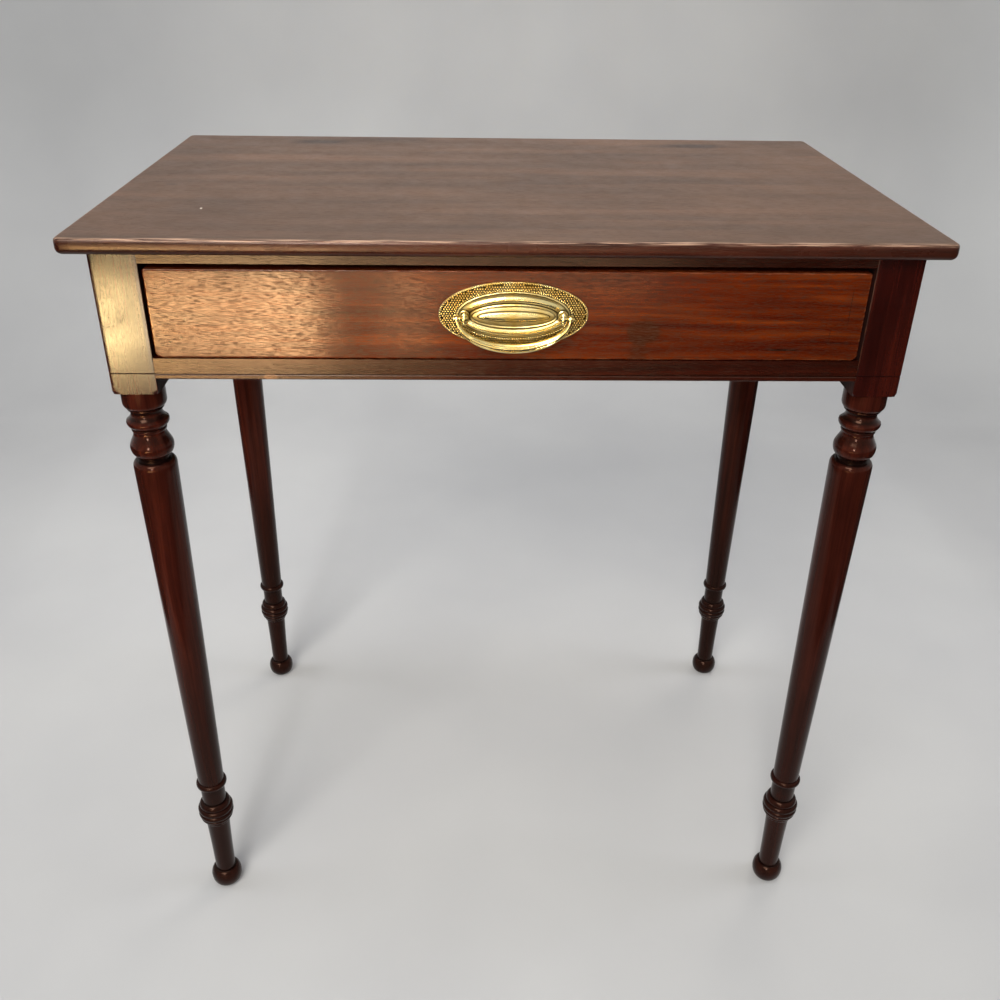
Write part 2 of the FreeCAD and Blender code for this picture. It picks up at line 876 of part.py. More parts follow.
def nail_holes(body, low, depth):
    holes = add_sketch(body, "XY", low)
    half = dim.nail_width / 2
    for x in nail_places:
        draw_rectangle(holes, x - half, x + half, nail_y - half, nail_y + half)
    pocket(body, holes, depth, ahead=True)


def make_nails():
    # Cut nails, square in the shank and the head.
    def square(name, x, low, width, height):
        return primitive("Box", name, x - width / 2, nail_y - width / 2, low,
                         Length=width, Width=width, Height=height)

    pieces = []
    for x in nail_places:
        shank = square("nail_shank", x, bottom_low, dim.nail_width, dim.nail_length)
        head = square("nail_head", x, bottom_low - dim.nail_head_height, dim.nail_head_width,
                      dim.nail_head_height)
        pieces.append(combine("MultiFuse", "nail", [shank, head]))
    group("drawer_bottom_nails", pieces)


# Brass pull

facing = Vector(0, -1, 0)


def draw_oval(sketch, width, height):
    # Two round ends and two long sides: four arcs that run smoothly into one another.
    half = width / 2
    rise = height / 2
    end = rise * rise / half * oval_end_share
    end_centre = half - end
    side_centre = (half - rise) * (half + rise - end * 2) / ((rise - end) * 2)
    between_centres = side_centre + rise - end
    x = end_centre + end * end_centre / between_centres
    y = end * side_centre / between_centres
    draw_outline(sketch, [
        (x, -y, half - x),
        (x, y, rise - y),
        (-x, y, half - x),
        (-x, -y, rise - y),
    ])


def make_plate():
    body = new_body("handle_backplate")
    place(body, dim.handle_offset, drawer_face_y, handle_z)

    def stamp(base, rise, *ovals):
        sketch = add_sketch(body, "XZ", base)
        for width, height in ovals:
            draw_oval(sketch, width, height)
        pad(body, sketch, rise - base)

    def sink(base, depth, ahead, *ovals):
        sketch = add_sketch(body, "XZ", base)
        for width, height in ovals:
            draw_oval(sketch, width, height)
        pocket(body, sketch, depth, ahead)

    rope = dim.border_rope_width * 2
    ground = dim.plate_ground_height
    stamp(zero, ground, (dim.plate_width, dim.plate_height))
    stamp(ground, dim.border_rise, (dim.border_width, dim.border_height),
          (dim.border_width - rope, dim.border_height - rope))
    stamp(ground, dim.dome_rise, (dim.dome_width, dim.dome_height))
    sink(dim.dome_rise, dim.dome_rise - dim.oval_rise, False, (dim.oval_width, dim.oval_height))
    slope_edges(body, dim.dome_slope, lies_at(y=-dim.dome_rise))
    stamp(dim.oval_rise, dim.almond_rise, (dim.almond_width, dim.almond_height))
    sink(zero, dim.plate_hollow, True, (dim.dome_width * hollow_share, dim.dome_height * hollow_share))
    seats = add_sketch(body, "XZ", dim.dome_rise)
    holes = add_sketch(body, "XZ", dim.dome_rise)
    for x in (-half_posts, half_posts):
        draw_circle(seats, x, zero, dim.post_flange_radius + dim.post_clearance)
        draw_circle(holes, x, zero, dim.post_stem_radius + dim.post_clearance)
    pocket(body, seats, dim.dome_rise - dim.post_seat)
    pocket(body, holes, dim.dome_rise)


def make_posts():
    # Ball-headed bolts: revolved about their own axis, with a cross hole for the bail's pin.
    body = new_body("left_post")
    place(body, dim.handle_offset - half_posts, drawer_face_y, handle_z)
    tail = dim.front_thickness + dim.nut_thickness + dim.post_tail
    seat = -dim.post_seat
    flange = seat - dim.post_flange_height
    ball = -dim.pivot_stand_off
    tip = ball - dim.post_ball_radius
    neck = ball + dim.post_ball_radius
    profile = add_sketch(body, "XY")
    draw_outline(profile, [
        (zero, tip),
        (dim.post_ball_end_radius, tip),
        *bead(tip, neck, dim.post_ball_radius),
        (dim.post_neck_radius, neck),
        (dim.post_neck_radius, flange),
        (dim.post_flange_radius, flange),
        (dim.post_flange_radius, seat),
        (dim.post_stem_radius, seat),
        (dim.post_stem_radius, tail),
        (zero, tail),
    ])
    revolve(body, profile)
    eye = add_sketch(body, "YZ", dim.post_ball_radius + dim.overrun)
    draw_circle(eye, ball, zero, dim.bail_pin_radius + dim.bail_pin_clearance)
    pocket(body, eye, dim.post_ball_radius * 2 + dim.overrun * 2)
    group("handle_posts", [body, mirror(body, "right_post", dim.handle_offset)])


def make_nuts():
    pieces = []
    half = dim.nut_width / 2
    for side in (-1, 1):
        x = dim.handle_offset + half_posts * side
        block = primitive("Box", "nut_block", x - half, front_back_y, handle_z - half,
                          Length=dim.nut_width, Width=dim.nut_thickness, Height=dim.nut_width)
        bore = primitive("Cylinder", "nut_bore", x, front_back_y + dim.nut_thickness, handle_z, facing,
                         Radius=dim.post_stem_radius + dim.post_clearance, Height=dim.nut_thickness)
        pieces.append(combine("Cut", "nut", (block, bore)))
    group("handle_nuts", pieces)


def make_bail():
    # The lower half of an oval ring, thicker at the grip, hung on pins through its two knuckles.
    body = new_body("handle_bail")
    place(body, dim.handle_offset, pivot_y, handle_z)
    half_thickness = dim.bail_thickness / 2
    ring = add_sketch(body, "XZ", -half_thickness)
    draw_oval(ring, dim.bail_width, dim.bail_drop * 2)
    draw_oval(ring, dim.bail_width - dim.bail_arm * 2, (dim.bail_drop - dim.bail_grip) * 2)
    pad(body, ring, dim.bail_thickness)
    upper = add_sketch(body, "XZ", half_thickness)
    draw_rectangle(upper, -dim.bail_width, dim.bail_width, zero, dim.bail_width)
    pocket(body, upper, dim.bail_thickness)
    for face in (-half_thickness, half_thickness):
        on_face = lies_at(y=face)
        slope_edges(body, dim.bail_slope, lambda edge: on_face(edge) and edge.Length > dim.bail_arm.value)
    outside = dim.bail_width / 2
    for side in (-1, 1):
        arm_start = -outside if side < 0 else outside - dim.bail_arm
        knuckle = add_sketch(body, "YZ", arm_start)
        draw_circle(knuckle, zero, zero, dim.bail_knuckle_radius)
        pad(body, knuckle, dim.bail_arm)
        pin_end = outside + dim.bail_pin_stub
        pin = add_sketch(body, "YZ", -pin_end if side < 0 else pin_end - dim.bail_pin_length)
        draw_circle(pin, zero, zero, dim.bail_pin_radius)
        pad(body, pin, dim.bail_pin_length)


nodes = [
    "top_board", "front_left_leg", "front_right_leg", "rear_left_leg", "rear_right_leg",
    "front_top_rail", "front_bottom_rail", "left_side_rail", "right_side_rail", "back_rail",
    "left_runner", "right_runner", "left_guide", "right_guide", "left_kicker", "right_kicker",
    "drawer_stops", "glue_blocks",
    "drawer_front", "drawer_left_side", "drawer_right_side", "drawer_back", "drawer_bottom",
    "drawer_bottom_nails", "handle_backplate", "handle_posts", "handle_nuts", "handle_bail",
]

make_top()
make_front_leg()
make_rear_leg()
make_side_rails()
make_back_rail()
make_front_top_rail()
make_front_bottom_rail()
make_drawer_supports()
make_stops()
make_glue_blocks()
make_drawer_front()
make_drawer_sides()
make_drawer_back()
make_drawer_bottom()
make_nails()
make_plate()
make_posts()
make_nuts()
make_bail()
doc.recompute()

for item in doc.Objects:
    if {"Invalid", "Error"} & set(item.State):
        raise RuntimeError(f"{item.Label} failed: {item.State}")
pieces = {name: doc.getObjectsByLabel(name)[0] for name in nodes}
for name, piece in pieces.items():
    if piece.Shape.isNull() or not piece.Shape.isValid():
        raise RuntimeError(f"{name} has no valid shape")

os.makedirs("parts", exist_ok=True)
for name, piece in pieces.items():
    piece.Shape.exportStep(f"parts/{name}.step")
    print(name, len(piece.Shape.Solids), round(piece.Shape.Volume))
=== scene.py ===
import math

import bpy
from mathutils import Matrix, Vector, noise


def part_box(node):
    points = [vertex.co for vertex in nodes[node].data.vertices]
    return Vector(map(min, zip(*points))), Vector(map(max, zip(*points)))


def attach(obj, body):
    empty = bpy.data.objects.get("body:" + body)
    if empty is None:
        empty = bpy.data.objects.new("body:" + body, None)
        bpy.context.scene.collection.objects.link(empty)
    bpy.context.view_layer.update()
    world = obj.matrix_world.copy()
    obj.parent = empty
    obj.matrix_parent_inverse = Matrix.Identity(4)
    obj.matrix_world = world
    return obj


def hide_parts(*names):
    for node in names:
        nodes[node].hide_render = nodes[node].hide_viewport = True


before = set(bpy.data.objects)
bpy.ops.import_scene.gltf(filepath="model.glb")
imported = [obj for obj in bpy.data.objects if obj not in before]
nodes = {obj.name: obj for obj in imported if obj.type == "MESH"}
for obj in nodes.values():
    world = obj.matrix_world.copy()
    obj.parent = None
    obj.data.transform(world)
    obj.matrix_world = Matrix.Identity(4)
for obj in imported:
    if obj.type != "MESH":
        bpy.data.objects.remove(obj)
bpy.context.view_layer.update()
mm = 0.001
print("frame loaded:", len(nodes), "nodes")


# small helpers

def linear(hexColour):
    channels = [int(hexColour[i:i + 2], 16) / 255 for i in (1, 3, 5)]
    return tuple(c / 12.92 if c <= 0.04045 else ((c + 0.055) / 1.055) ** 2.4 for c in channels) + (1,)


def addNode(tree, kind, settings=None, links=None):
    node = tree.nodes.new("ShaderNode" + kind)
    for key, value in (settings or {}).items():
        if key == "stops":  # a ramp's stops: place and colour
            while len(node.color_ramp.elements) < len(value):
                node.color_ramp.elements.new(1)
            for element, (place, colour) in zip(node.color_ramp.elements, value):
                element.position = place
                element.color = linear(colour)
        elif isinstance(key, int) or key in node.inputs:
            node.inputs[key].default_value = value
        else:
            setattr(node, key, value)
    for key, source in (links or {}).items():
        tree.links.new(source, node.inputs[key])
    return node


def newMaterial(name):
    material = bpy.data.materials.new(name)
    material.use_nodes = True
    tree = material.node_tree
    tree.nodes.clear()
    shader = addNode(tree, "BsdfPrincipled")
    addNode(tree, "OutputMaterial", links={"Surface": shader.outputs[0]})
    return material, tree, shader


def addPiece(name, points, faces, body, material, replaced, sharp=32):
    mesh = bpy.data.meshes.new(name)
    mesh.from_pydata([tuple(p) for p in points], [], faces)
    mesh.validate()
    mesh.shade_smooth()
    mesh.set_sharp_from_angle(angle=math.radians(sharp))
    mesh.materials.append(material)
    piece = bpy.data.objects.new(name, mesh)
    bpy.context.scene.collection.objects.link(piece)
    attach(piece, body)
    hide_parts(*replaced)
    return piece


def ringFaces(count, rings, first=0):
    # four-sided faces between each ring of points and the next, and a lid at either end
    faces = []
    for ring in range(rings - 1):
        near, far = first + ring * count, first + (ring + 1) * count
        for step in range(count):
            ahead = (step + 1) % count
            faces.append((near + step, near + ahead, far + ahead, far + step))
    last = first + (rings - 1) * count
    return faces + [tuple(reversed(range(first, first + count))), tuple(range(last, last + count))]


def setShare(piece, name, share):
    # a number from 0 to 1 at each point, that the materials read
    layer = piece.data.attributes.new(name, "FLOAT", "POINT")
    layer.data.foreach_set("value", [share(v.co) for v in piece.data.vertices])


def between(low, high, share):
    return low + (high - low) * share


def smooth(low, high, value):
    share = min(max((value - low) / (high - low), 0), 1)
    return share * share * (3 - 2 * share)


# woods

noiseLow, noiseHigh = 0.36, 0.64  # most of a noise texture's values lie between these
wideLow, wideHigh = 0.3, 0.7  # and nearly all of them between these
patternLight = 1.1  # streaks and clouds lighten the wood this much at most
cutBlur = 0.1  # a pore's or a rubbed place's edge blurs over this much of the noise
spotEdge, spotRag = 1.35, 0.7  # a spot ends here, in half sizes, and its edge wanders this much


def grainScale(axis, across, along):
    # texture scale for a figure of this size in mm, long the way the grain runs
    sizes = [across, across, across]
    sizes["xyz".index(axis)] = along
    return tuple(1 / (size * mm) for size in sizes)


def polishedWood(name, look):
    material, tree, shader = newMaterial(name)
    place = addNode(tree, "TexCoord").outputs["Object"]
    # the tree never grew straight: a slow sway bends every pattern
    sway = addNode(tree, "TexNoise", {"Scale": 1 / (look["swayLength"] * mm), "Detail": 2}, {"Vector": place})
    shifted = addNode(tree, "VectorMath", {"operation": "SUBTRACT", 1: (0.5, 0.5, 0.5)},
                      {0: sway.outputs["Color"]})
    bent = addNode(tree, "VectorMath", {"operation": "MULTIPLY_ADD", 1: (look["sway"] * mm,) * 3},
                   {0: shifted.outputs[0], 2: place}).outputs[0]

    def grain(across, along, detail, start=bent):
        stretched = addNode(tree, "Mapping", {"Scale": grainScale(look["grain"], across, along)},
                            {"Vector": start})
        return addNode(tree, "TexNoise", {"Scale": 1, "Detail": detail, "Roughness": 0.55},
                       {"Vector": stretched.outputs[0]}).outputs[0]

    colour = addNode(tree, "ValToRGB", {"stops": [
        (0.32, look["dark"]), (0.5, look["mid"]), (0.68, look["light"])]},
        {0: grain(*look["figure"], 4)}).outputs[0]
    streaks = addNode(tree, "MapRange", {1: noiseLow, 2: noiseHigh, 3: look["streakDark"], 4: patternLight},
                      {0: grain(*look["streak"], 4)})
    mottle = addNode(tree, "TexNoise", {"Scale": 1 / (look["cloud"] * mm), "Detail": 3}, {"Vector": place})
    clouds = addNode(tree, "MapRange", {1: noiseLow, 2: noiseHigh, 3: look["cloudDark"], 4: patternLight},
                     {0: mottle.outputs[0]})
    # open pores: dark dashes along the grain, drawn wider than the real 0.2 mm so that they show
    pores = addNode(tree, "MapRange", {1: look["poreCut"], 2: look["poreCut"] + cutBlur},
                    {0: grain(*look["pore"], 1)}).outputs[0]
    poreShade = addNode(tree, "MapRange", {3: 1, 4: look["poreDark"]}, {0: pores})
    for shade in (streaks, clouds, poreShade):
        colour = addNode(tree, "Mix", {"data_type": "RGBA", "blend_type": "MULTIPLY", 0: 1},
                         {6: colour, 7: shade.outputs[0]}).outputs[2]
    # stains and knocks: place and half size in mm, colour, strength, blur, ragged edge in mm
    for at, size, tone, strength, blur, ragged in look.get("spots", []):
        squeezed = addNode(tree, "Mapping", {
            "Location": tuple(-c / s for c, s in zip(at, size)),
            "Scale": tuple(1 / (s * mm) for s in size)}, {"Vector": place})
        reach = addNode(tree, "VectorMath", {"operation": "LENGTH"}, {0: squeezed.outputs[0]})
        uneven = addNode(tree, "TexNoise", {"Scale": 1 / (ragged * mm), "Detail": 3}, {"Vector": place})
        edge = addNode(tree, "Math", {"operation": "MULTIPLY_ADD", 1: spotRag},
                       {0: uneven.outputs[0], 2: reach.outputs["Value"]})
        mask = addNode(tree, "MapRange", {1: spotEdge, 2: spotEdge - blur, 3: 0, 4: strength},
                       {0: edge.outputs[0]})
        colour = addNode(tree, "Mix", {"data_type": "RGBA", 7: linear(tone)},
                         {0: mask.outputs[0], 6: colour}).outputs[2]
    # old wax and dirt, and painted shade, in the turned lines and under the edges, then arrises rubbed
    # through to pale wood
    dirt = addNode(tree, "Attribute", {"attribute_name": "dirt"}).outputs["Fac"]
    wear = addNode(tree, "Attribute", {"attribute_name": "wear"}).outputs["Fac"]
    rubbed = addNode(tree, "MapRange", {1: look["rubCut"], 2: look["rubCut"] + cutBlur},
                     {0: grain(*look["rub"], 3, place)})
    worn = addNode(tree, "Math", {"operation": "MULTIPLY"}, {0: wear, 1: rubbed.outputs[0]}).outputs[0]
    for share, tone in ((dirt, look["dirt"]), (worn, look["worn"])):
        colour = addNode(tree, "Mix", {"data_type": "RGBA", 7: linear(tone)},
                         {0: share, 6: colour}).outputs[2]
    tree.links.new(colour, shader.inputs["Base Color"])
    # hand-rubbed polish: broken gloss, dull in the pores
    hand = addNode(tree, "TexNoise", {"Scale": 1 / (look["rubSize"] * mm), "Detail": 4}, {"Vector": place})
    gloss = addNode(tree, "MapRange", {1: wideLow, 2: wideHigh, 3: look["gloss"][0], 4: look["gloss"][1]},
                    {0: hand.outputs[0]})
    dull = addNode(tree, "Math", {"operation": "MULTIPLY_ADD", 1: look["poreDull"]},
                   {0: pores, 2: gloss.outputs[0]})
    dirty = addNode(tree, "Math", {"operation": "MULTIPLY_ADD", 1: look["dirtShadeDull"]},
                    {0: dirt, 2: dull.outputs[0]})
    tree.links.new(dirty.outputs[0], shader.inputs["Roughness"])
    peel = addNode(tree, "TexNoise", {"Scale": 1 / (look["peelSize"] * mm), "Detail": 3}, {"Vector": place})
    height = addNode(tree, "Math", {"operation": "MULTIPLY_ADD", 1: -look["poreDepth"]},
                     {0: pores, 2: peel.outputs[0]})
    bump = addNode(tree, "Bump", {"Strength": look["bump"], "Distance": look["bumpDepth"] * mm},
                   {"Height": height.outputs[0]})
    tree.links.new(bump.outputs[0], shader.inputs["Normal"])
    shader.inputs["IOR"].default_value = look["ior"]
    shader.inputs["Specular IOR Level"].default_value = look["shine"]
    shader.inputs["Specular Tint"].default_value = linear(look["polish"])
    return material


# mahogany under old hand polish: red-brown with long soft streaks, and a broken gloss over open pores
mahogany = {
    "grain": "x", "dark": "#260905", "mid": "#340f07", "light": "#43170a",
    "swayLength": 160, "sway": 7, "figure": (14, 260), "streak": (2.6, 130), "streakDark": 0.74,
    "cloud": 110, "cloudDark": 0.82, "pore": (0.6, 12), "poreCut": 0.54, "poreDark": 0.62, "poreDull": 0.1,
    "worn": "#9a6242", "dirt": "#0d0403", "dirtShadeDull": 0.3, "rub": (2.5, 14), "rubCut": 0.5, "rubSize": 25,
    "gloss": (0.17, 0.25), "peelSize": 1.6, "poreDepth": 0.5, "bump": 0.12, "bumpDepth": 0.1, "ior": 1.47,
    "shine": 0.5, "polish": "#ffffff",
}
# the top has faded under daylight to a greyer brown, painted paler still for the sheen it mirrors, and its
# polish has gone dull
sheenTopWood = polishedWood("fadedSheenMahoganyTop", {
    **mahogany, "dark": "#4b3627", "mid": "#563e2d", "light": "#624735", "gloss": (0.34, 0.42), "sway": 16,
    "pore": (0.6, 9), "poreDark": 0.85, "figure": (26, 420), "streak": (2.0, 200), "streakDark": 0.9,
    "cloudDark": 0.88, "bump": 0.04, "ior": 1.5, "worn": "#c9a58c", "rub": (0.8, 40),
    "spots": [
        ((-195, 178, 728), (40, 15, 20), "#261a13", 0.85, 0.7, 14),
        ((-120, 196, 728), (60, 11, 20), "#2c1f17", 0.7, 0.7, 16),
        ((205, 172, 728), (60, 17, 20), "#261a13", 0.8, 0.7, 16),
        ((-298, -31, 728), (6, 1.6, 20), "#160a06", 0.95, 0.2, 4),
        ((-252, -118, 728), (1.1, 1.4, 20), "#e8ded2", 0.95, 0.2, 4),
    ],
})
# the top's edge never saw the sun: still red, and painted darker for the shade on it; close in its gloss
shadedEdgeWood = polishedWood("shadedMahoganyEdge", {
    **mahogany, "dark": "#26100b", "mid": "#35170f", "light": "#442016", "gloss": (0.2, 0.3), "bump": 0.06,
    "ior": 1.46, "polish": "#ecd0bf", "worn": "#c9a58c", "rub": (0.8, 40),
})
# the drawer front: a warmer straight-grained board, thick with dark pores that break its shine
drawerWood = polishedWood("drawerFrontMahogany", {
    **mahogany, "dark": "#430f02", "mid": "#591d04", "light": "#702e0a", "polish": "#f8e0c8",
    "pore": (0.24, 6.5), "poreCut": 0.49, "poreDark": 0.3, "poreDull": 0.32, "bump": 0.04,
    "gloss": (0.1, 0.15), "figure": (6, 150), "streak": (1.0, 60), "streakDark": 0.76,
    "spots": [
        ((107, -197, 652), (15, 20, 12.5), "#33180a", 0.72, 0.25, 6),
        ((104, -197, 635), (9, 20, 13), "#33180a", 0.5, 0.4, 6),
        ((220, -197, 637.6), (15, 20, 0.9), "#1a0a04", 0.9, 0.25, 9),
        ((270, -197, 674), (0.5, 20, 22), "#2a1007", 0.8, 0.4, 9),
        ((257, -197, 649), (0.45, 20, 10), "#2a1007", 0.7, 0.4, 9),
        ((264, -197, 659), (8, 20, 0.45), "#2a1007", 0.7, 0.4, 9),
        ((-260, -197, 646), (1.5, 20, 1.3), "#1a0a04", 0.9, 0.3, 3),
        ((-269, -197, 642), (1.2, 20, 1.2), "#1a0a04", 0.9, 0.3, 3),
        ((-255, -197, 661), (1.3, 20, 1.3), "#1a0a04", 0.8, 0.3, 3),
        ((-195, -197, 654), (1.5, 20, 1.1), "#1a0a04", 0.9, 0.3, 3),
    ],
})
# rails: the same wood in narrow pieces, darker with handling
railWood = polishedWood("railMahogany", {
    **mahogany, "dark": "#210704", "mid": "#2e0c05", "light": "#3c1408", "polish": "#f8e0c8",
    "spots": [
        ((-253, -198, 708.3), (13, 8, 0.7), "#0d0403", 0.95, 0.25, 5),
        ((-193, -198, 613), (6, 6, 2.4), "#7a5234", 0.5, 0.2, 3),
    ],
})
sideWood = polishedWood("sideRailMahogany", {**mahogany, "grain": "y"})
# legs: dense wood, darkened with stain and burnished on the lathe, so the gloss is close and deep
legWood = polishedWood("turnedMahogany", {
    **mahogany, "grain": "z", "dark": "#250c08", "mid": "#31120c", "light": "#3e180f", "figure": (7, 200),
    "dirtShadeDull": 0.06, "dirt": "#0d0605", "polish": "#d4a48c",  # shellac gone brown: even its shine is warm
    "streak": (1.6, 120), "gloss": (0.09, 0.15), "bump": 0.05, "ior": 1.32, "worn": "#7a4228",
    "pore": (0.5, 9), "poreCut": 0.56, "poreDark": 0.82, "poreDull": 0.05,
})
# the blocks at the legs' tops: planed, not turned, and polished with the rails
blockWood = polishedWood("planedMahogany", {
    **mahogany, "grain": "z", "dark": "#230705", "mid": "#2e0b07", "light": "#3a1109", "figure": (7, 200),
    "streak": (1.2, 90), "streakDark": 0.76, "worn": "#7a4228", "pore": (0.45, 4), "poreDark": 0.7,
    "poreDull": 0.05, "gloss": (0.13, 0.2), "bump": 0.06, "ior": 1.42,
    "spots": [((-319, -198, 709), (2, 5, 3.2), "#0d0403", 0.95, 0.25, 3)],
})
# the legs' inner faces were planed and stained, and never polished; painted darker than the blocks for the
# shade that falls there
innerShadedWood = polishedWood("stainedShadedMahogany", {
    **mahogany, "grain": "z", "dark": "#1c0704", "mid": "#240b06", "light": "#2e0f08", "gloss": (0.7, 0.85),
    "shine": 0.15,
})
print("mahogany ready")


# oak and pine inside: bare, dry and brown with age, no gloss at all
def bareWood(name, look):
    material, tree, shader = newMaterial(name)
    place = addNode(tree, "TexCoord").outputs["Object"]

    def grain(across, along, detail):
        stretched = addNode(tree, "Mapping", {"Scale": grainScale(look["grain"], across, along)},
                            {"Vector": place})
        return addNode(tree, "TexNoise", {"Scale": 1, "Detail": detail, "Distortion": 0.4},
                       {"Vector": stretched.outputs[0]}).outputs[0]

    rings = addNode(tree, "ValToRGB", {"stops": [
        (0.3, look["dark"]), (0.5, look["mid"]), (0.7, look["light"])]}, {0: grain(*look["figure"], 4)})
    dust = addNode(tree, "TexNoise", {"Scale": 1 / (look["dustSize"] * mm), "Detail": 5}, {"Vector": place})
    dusty = addNode(tree, "MapRange", {1: look["dustFrom"], 2: wideHigh, 3: 0, 4: look["dustShare"]},
                    {0: dust.outputs[0]})
    colour = addNode(tree, "Mix", {"data_type": "RGBA", 7: linear(look["dust"])},
                     {0: dusty.outputs[0], 6: rings.outputs[0]})
    tree.links.new(colour.outputs[2], shader.inputs["Base Color"])
    rough = addNode(tree, "MapRange", {1: wideLow, 2: wideHigh, 3: look["rough"][0], 4: look["rough"][1]},
                    {0: dust.outputs[0]})
    tree.links.new(rough.outputs[0], shader.inputs["Roughness"])
    bump = addNode(tree, "Bump", {"Strength": look["bump"], "Distance": look["bumpDepth"] * mm},
                   {"Height": grain(*look["fibre"], 3)})
    tree.links.new(bump.outputs[0], shader.inputs["Normal"])
    return material


oak = {"grain": "y", "dark": "#5a3b21", "mid": "#7c5632", "light": "#99714a", "figure": (4, 90),
       "dust": "#6f604f", "dustSize": 45, "dustFrom": 0.35, "dustShare": 0.35, "rough": (0.62, 0.85),
       "fibre": (0.8, 30), "bump": 0.3, "bumpDepth": 0.3}
pine = {**oak, "dark": "#6a4526", "mid": "#8c6238", "light": "#a67c4d", "figure": (7, 160), "dust": "#6a5a49"}
oakLong = bareWood("bareOakLong", oak)
oakWide = bareWood("bareOakWide", {**oak, "grain": "x"})
pineLong = bareWood("barePineLong", pine)
pineWide = bareWood("barePineWide", {**pine, "grain": "x"})


# brass

def stampedBrass(name, look):
    material, tree, shader = newMaterial(name)
    place = addNode(tree, "TexCoord").outputs["Object"]
    # old lacquer and polish left in the hollows, brown where the cloth can't reach, and painted shade on the
    # plate round the posts
    film = addNode(tree, "TexNoise", {"Scale": 1 / (look["filmSize"] * mm), "Detail": 5}, {"Vector": place})
    bright = addNode(tree, "ValToRGB", {"stops": [
        (0.35, look["bright"]), (0.7, look["film"])]}, {0: film.outputs[0]})
    dirt = addNode(tree, "Attribute", {"attribute_name": "dirt"}).outputs["Fac"]
    colour = addNode(tree, "Mix", {"data_type": "RGBA", 7: linear(look["dirt"])},
                     {0: dirt, 6: bright.outputs[0]}).outputs[2]
    tree.links.new(colour, shader.inputs["Base Color"])
    rough = addNode(tree, "MapRange", {1: wideLow, 2: wideHigh, 3: look["gloss"][0], 4: look["gloss"][1]},
                    {0: film.outputs[0]})
    dull = addNode(tree, "Math", {"operation": "MULTIPLY_ADD", 1: look["dirtShadeDull"]},
                   {0: dirt, 2: rough.outputs[0]})
    tree.links.new(dull.outputs[0], shader.inputs["Roughness"])
    dent = addNode(tree, "TexNoise", {"Scale": 1 / (look["dentSize"] * mm), "Detail": 2}, {"Vector": place})
    bump = addNode(tree, "Bump", {"Strength": look["dent"], "Distance": look["dentDepth"] * mm},
                   {"Height": dent.outputs[0]})
    tree.links.new(bump.outputs[0], shader.inputs["Normal"])
    shader.inputs["Metallic"].default_value = 1
    return material


# thin sheet brass, struck in a die and polished: bright yellow on the crests, brown in the hollows
brass = {"bright": "#f6e4a6", "film": "#dfbb63", "filmSize": 14, "gloss": (0.2, 0.3),
         "dirt": "#261704", "dirtShadeDull": 0.35, "dentSize": 5, "dent": 0.6, "dentDepth": 0.12}
plateBrass = stampedBrass("stampedBrass", brass)
# cast, filed and burnished: the same metal, a little closer in its gloss
castBrass = stampedBrass("castBrass", {**brass, "gloss": (0.16, 0.26)})


# cut nails: rolled iron, dull and brown
nailIron = {"scale": "#2b2826", "rust": "#4a3527", "rustSize": 2, "rough": (0.5, 0.8), "metal": 0.6}
iron, tree, shader = newMaterial("rolledIron")
rust = addNode(tree, "TexNoise", {"Scale": 1 / (nailIron["rustSize"] * mm), "Detail": 4},
               {"Vector": addNode(tree, "TexCoord").outputs["Object"]})
colour = addNode(tree, "ValToRGB", {"stops": [(0.35, nailIron["scale"]), (0.65, nailIron["rust"])]},
                 {0: rust.outputs[0]})
tree.links.new(colour.outputs[0], shader.inputs["Base Color"])
rough = addNode(tree, "MapRange", {3: nailIron["rough"][0], 4: nailIron["rough"][1]}, {0: rust.outputs[0]})
tree.links.new(rough.outputs[0], shader.inputs["Roughness"])
shader.inputs["Metallic"].default_value = nailIron["metal"]
print("metals ready")


# boards with eased edges: a closed outline, drawn again at each step of the edge's profile

cornerSteps, leastRound = 6, 0.05  # faces round a corner, and the smallest corner in mm
# a hand-planed edge wanders this near to the rim, and this slowly, in mm
waver = {"rim": 4, "length": 35, "seed": 1553}
noise.seed_set(waver["seed"])  # this draw leaves the drawer's dovetails in sight


def easedOutline(low, high, radii, inset, spacing):
    # corner order: low low, high low, high high, low high
    corners = [(low[0], low[1], 180), (high[0], low[1], 270), (high[0], high[1], 0), (low[0], high[1], 90)]
    ways = [(1, 1), (-1, 1), (-1, -1), (1, -1)]
    arcs = []
    for (x, y, start), (wayX, wayY), radius in zip(corners, ways, radii):
        inner = max(radius - inset, leastRound * mm)
        centre = (x + wayX * (inset + inner), y + wayY * (inset + inner))
        turns = [math.radians(start + 90 * step / cornerSteps) for step in range(cornerSteps + 1)]
        arcs.append([(centre[0] + inner * math.cos(t), centre[1] + inner * math.sin(t)) for t in turns])
    outline = []
    for index, arc in enumerate(arcs):
        after = arcs[(index + 1) % 4]
        side = high[index % 2] - low[index % 2]
        count = max(int(side / spacing), 1)
        outline += arc
        (x, y), (nextX, nextY) = arc[-1], after[0]
        outline += [(between(x, nextX, step / count), between(y, nextY, step / count))
                    for step in range(1, count)]
    return outline


def easedBoard(low, high, flat, profile, radii, spacing, wander):
    # flat is the axis that the outline lies across
    # a profile step is its inset in mm and its place on that axis
    axes = [axis for axis in range(3) if axis != flat]
    small = [low[axis] for axis in axes]
    large = [high[axis] for axis in axes]
    rounds = [radius * mm for radius in radii]
    points = []
    for inset, height in profile:
        loop = easedOutline(small, large, rounds, inset * mm, spacing * mm)
        for across, up in loop:
            point = Vector((0, 0, 0))
            point[axes[0]] = across
            point[axes[1]] = up
            point[flat] = height
            if inset < waver["rim"]:
                point += noise.noise_vector(point / (waver["length"] * mm)) * wander * mm
            points.append(point)
    return points, ringFaces(len(loop), len(profile))


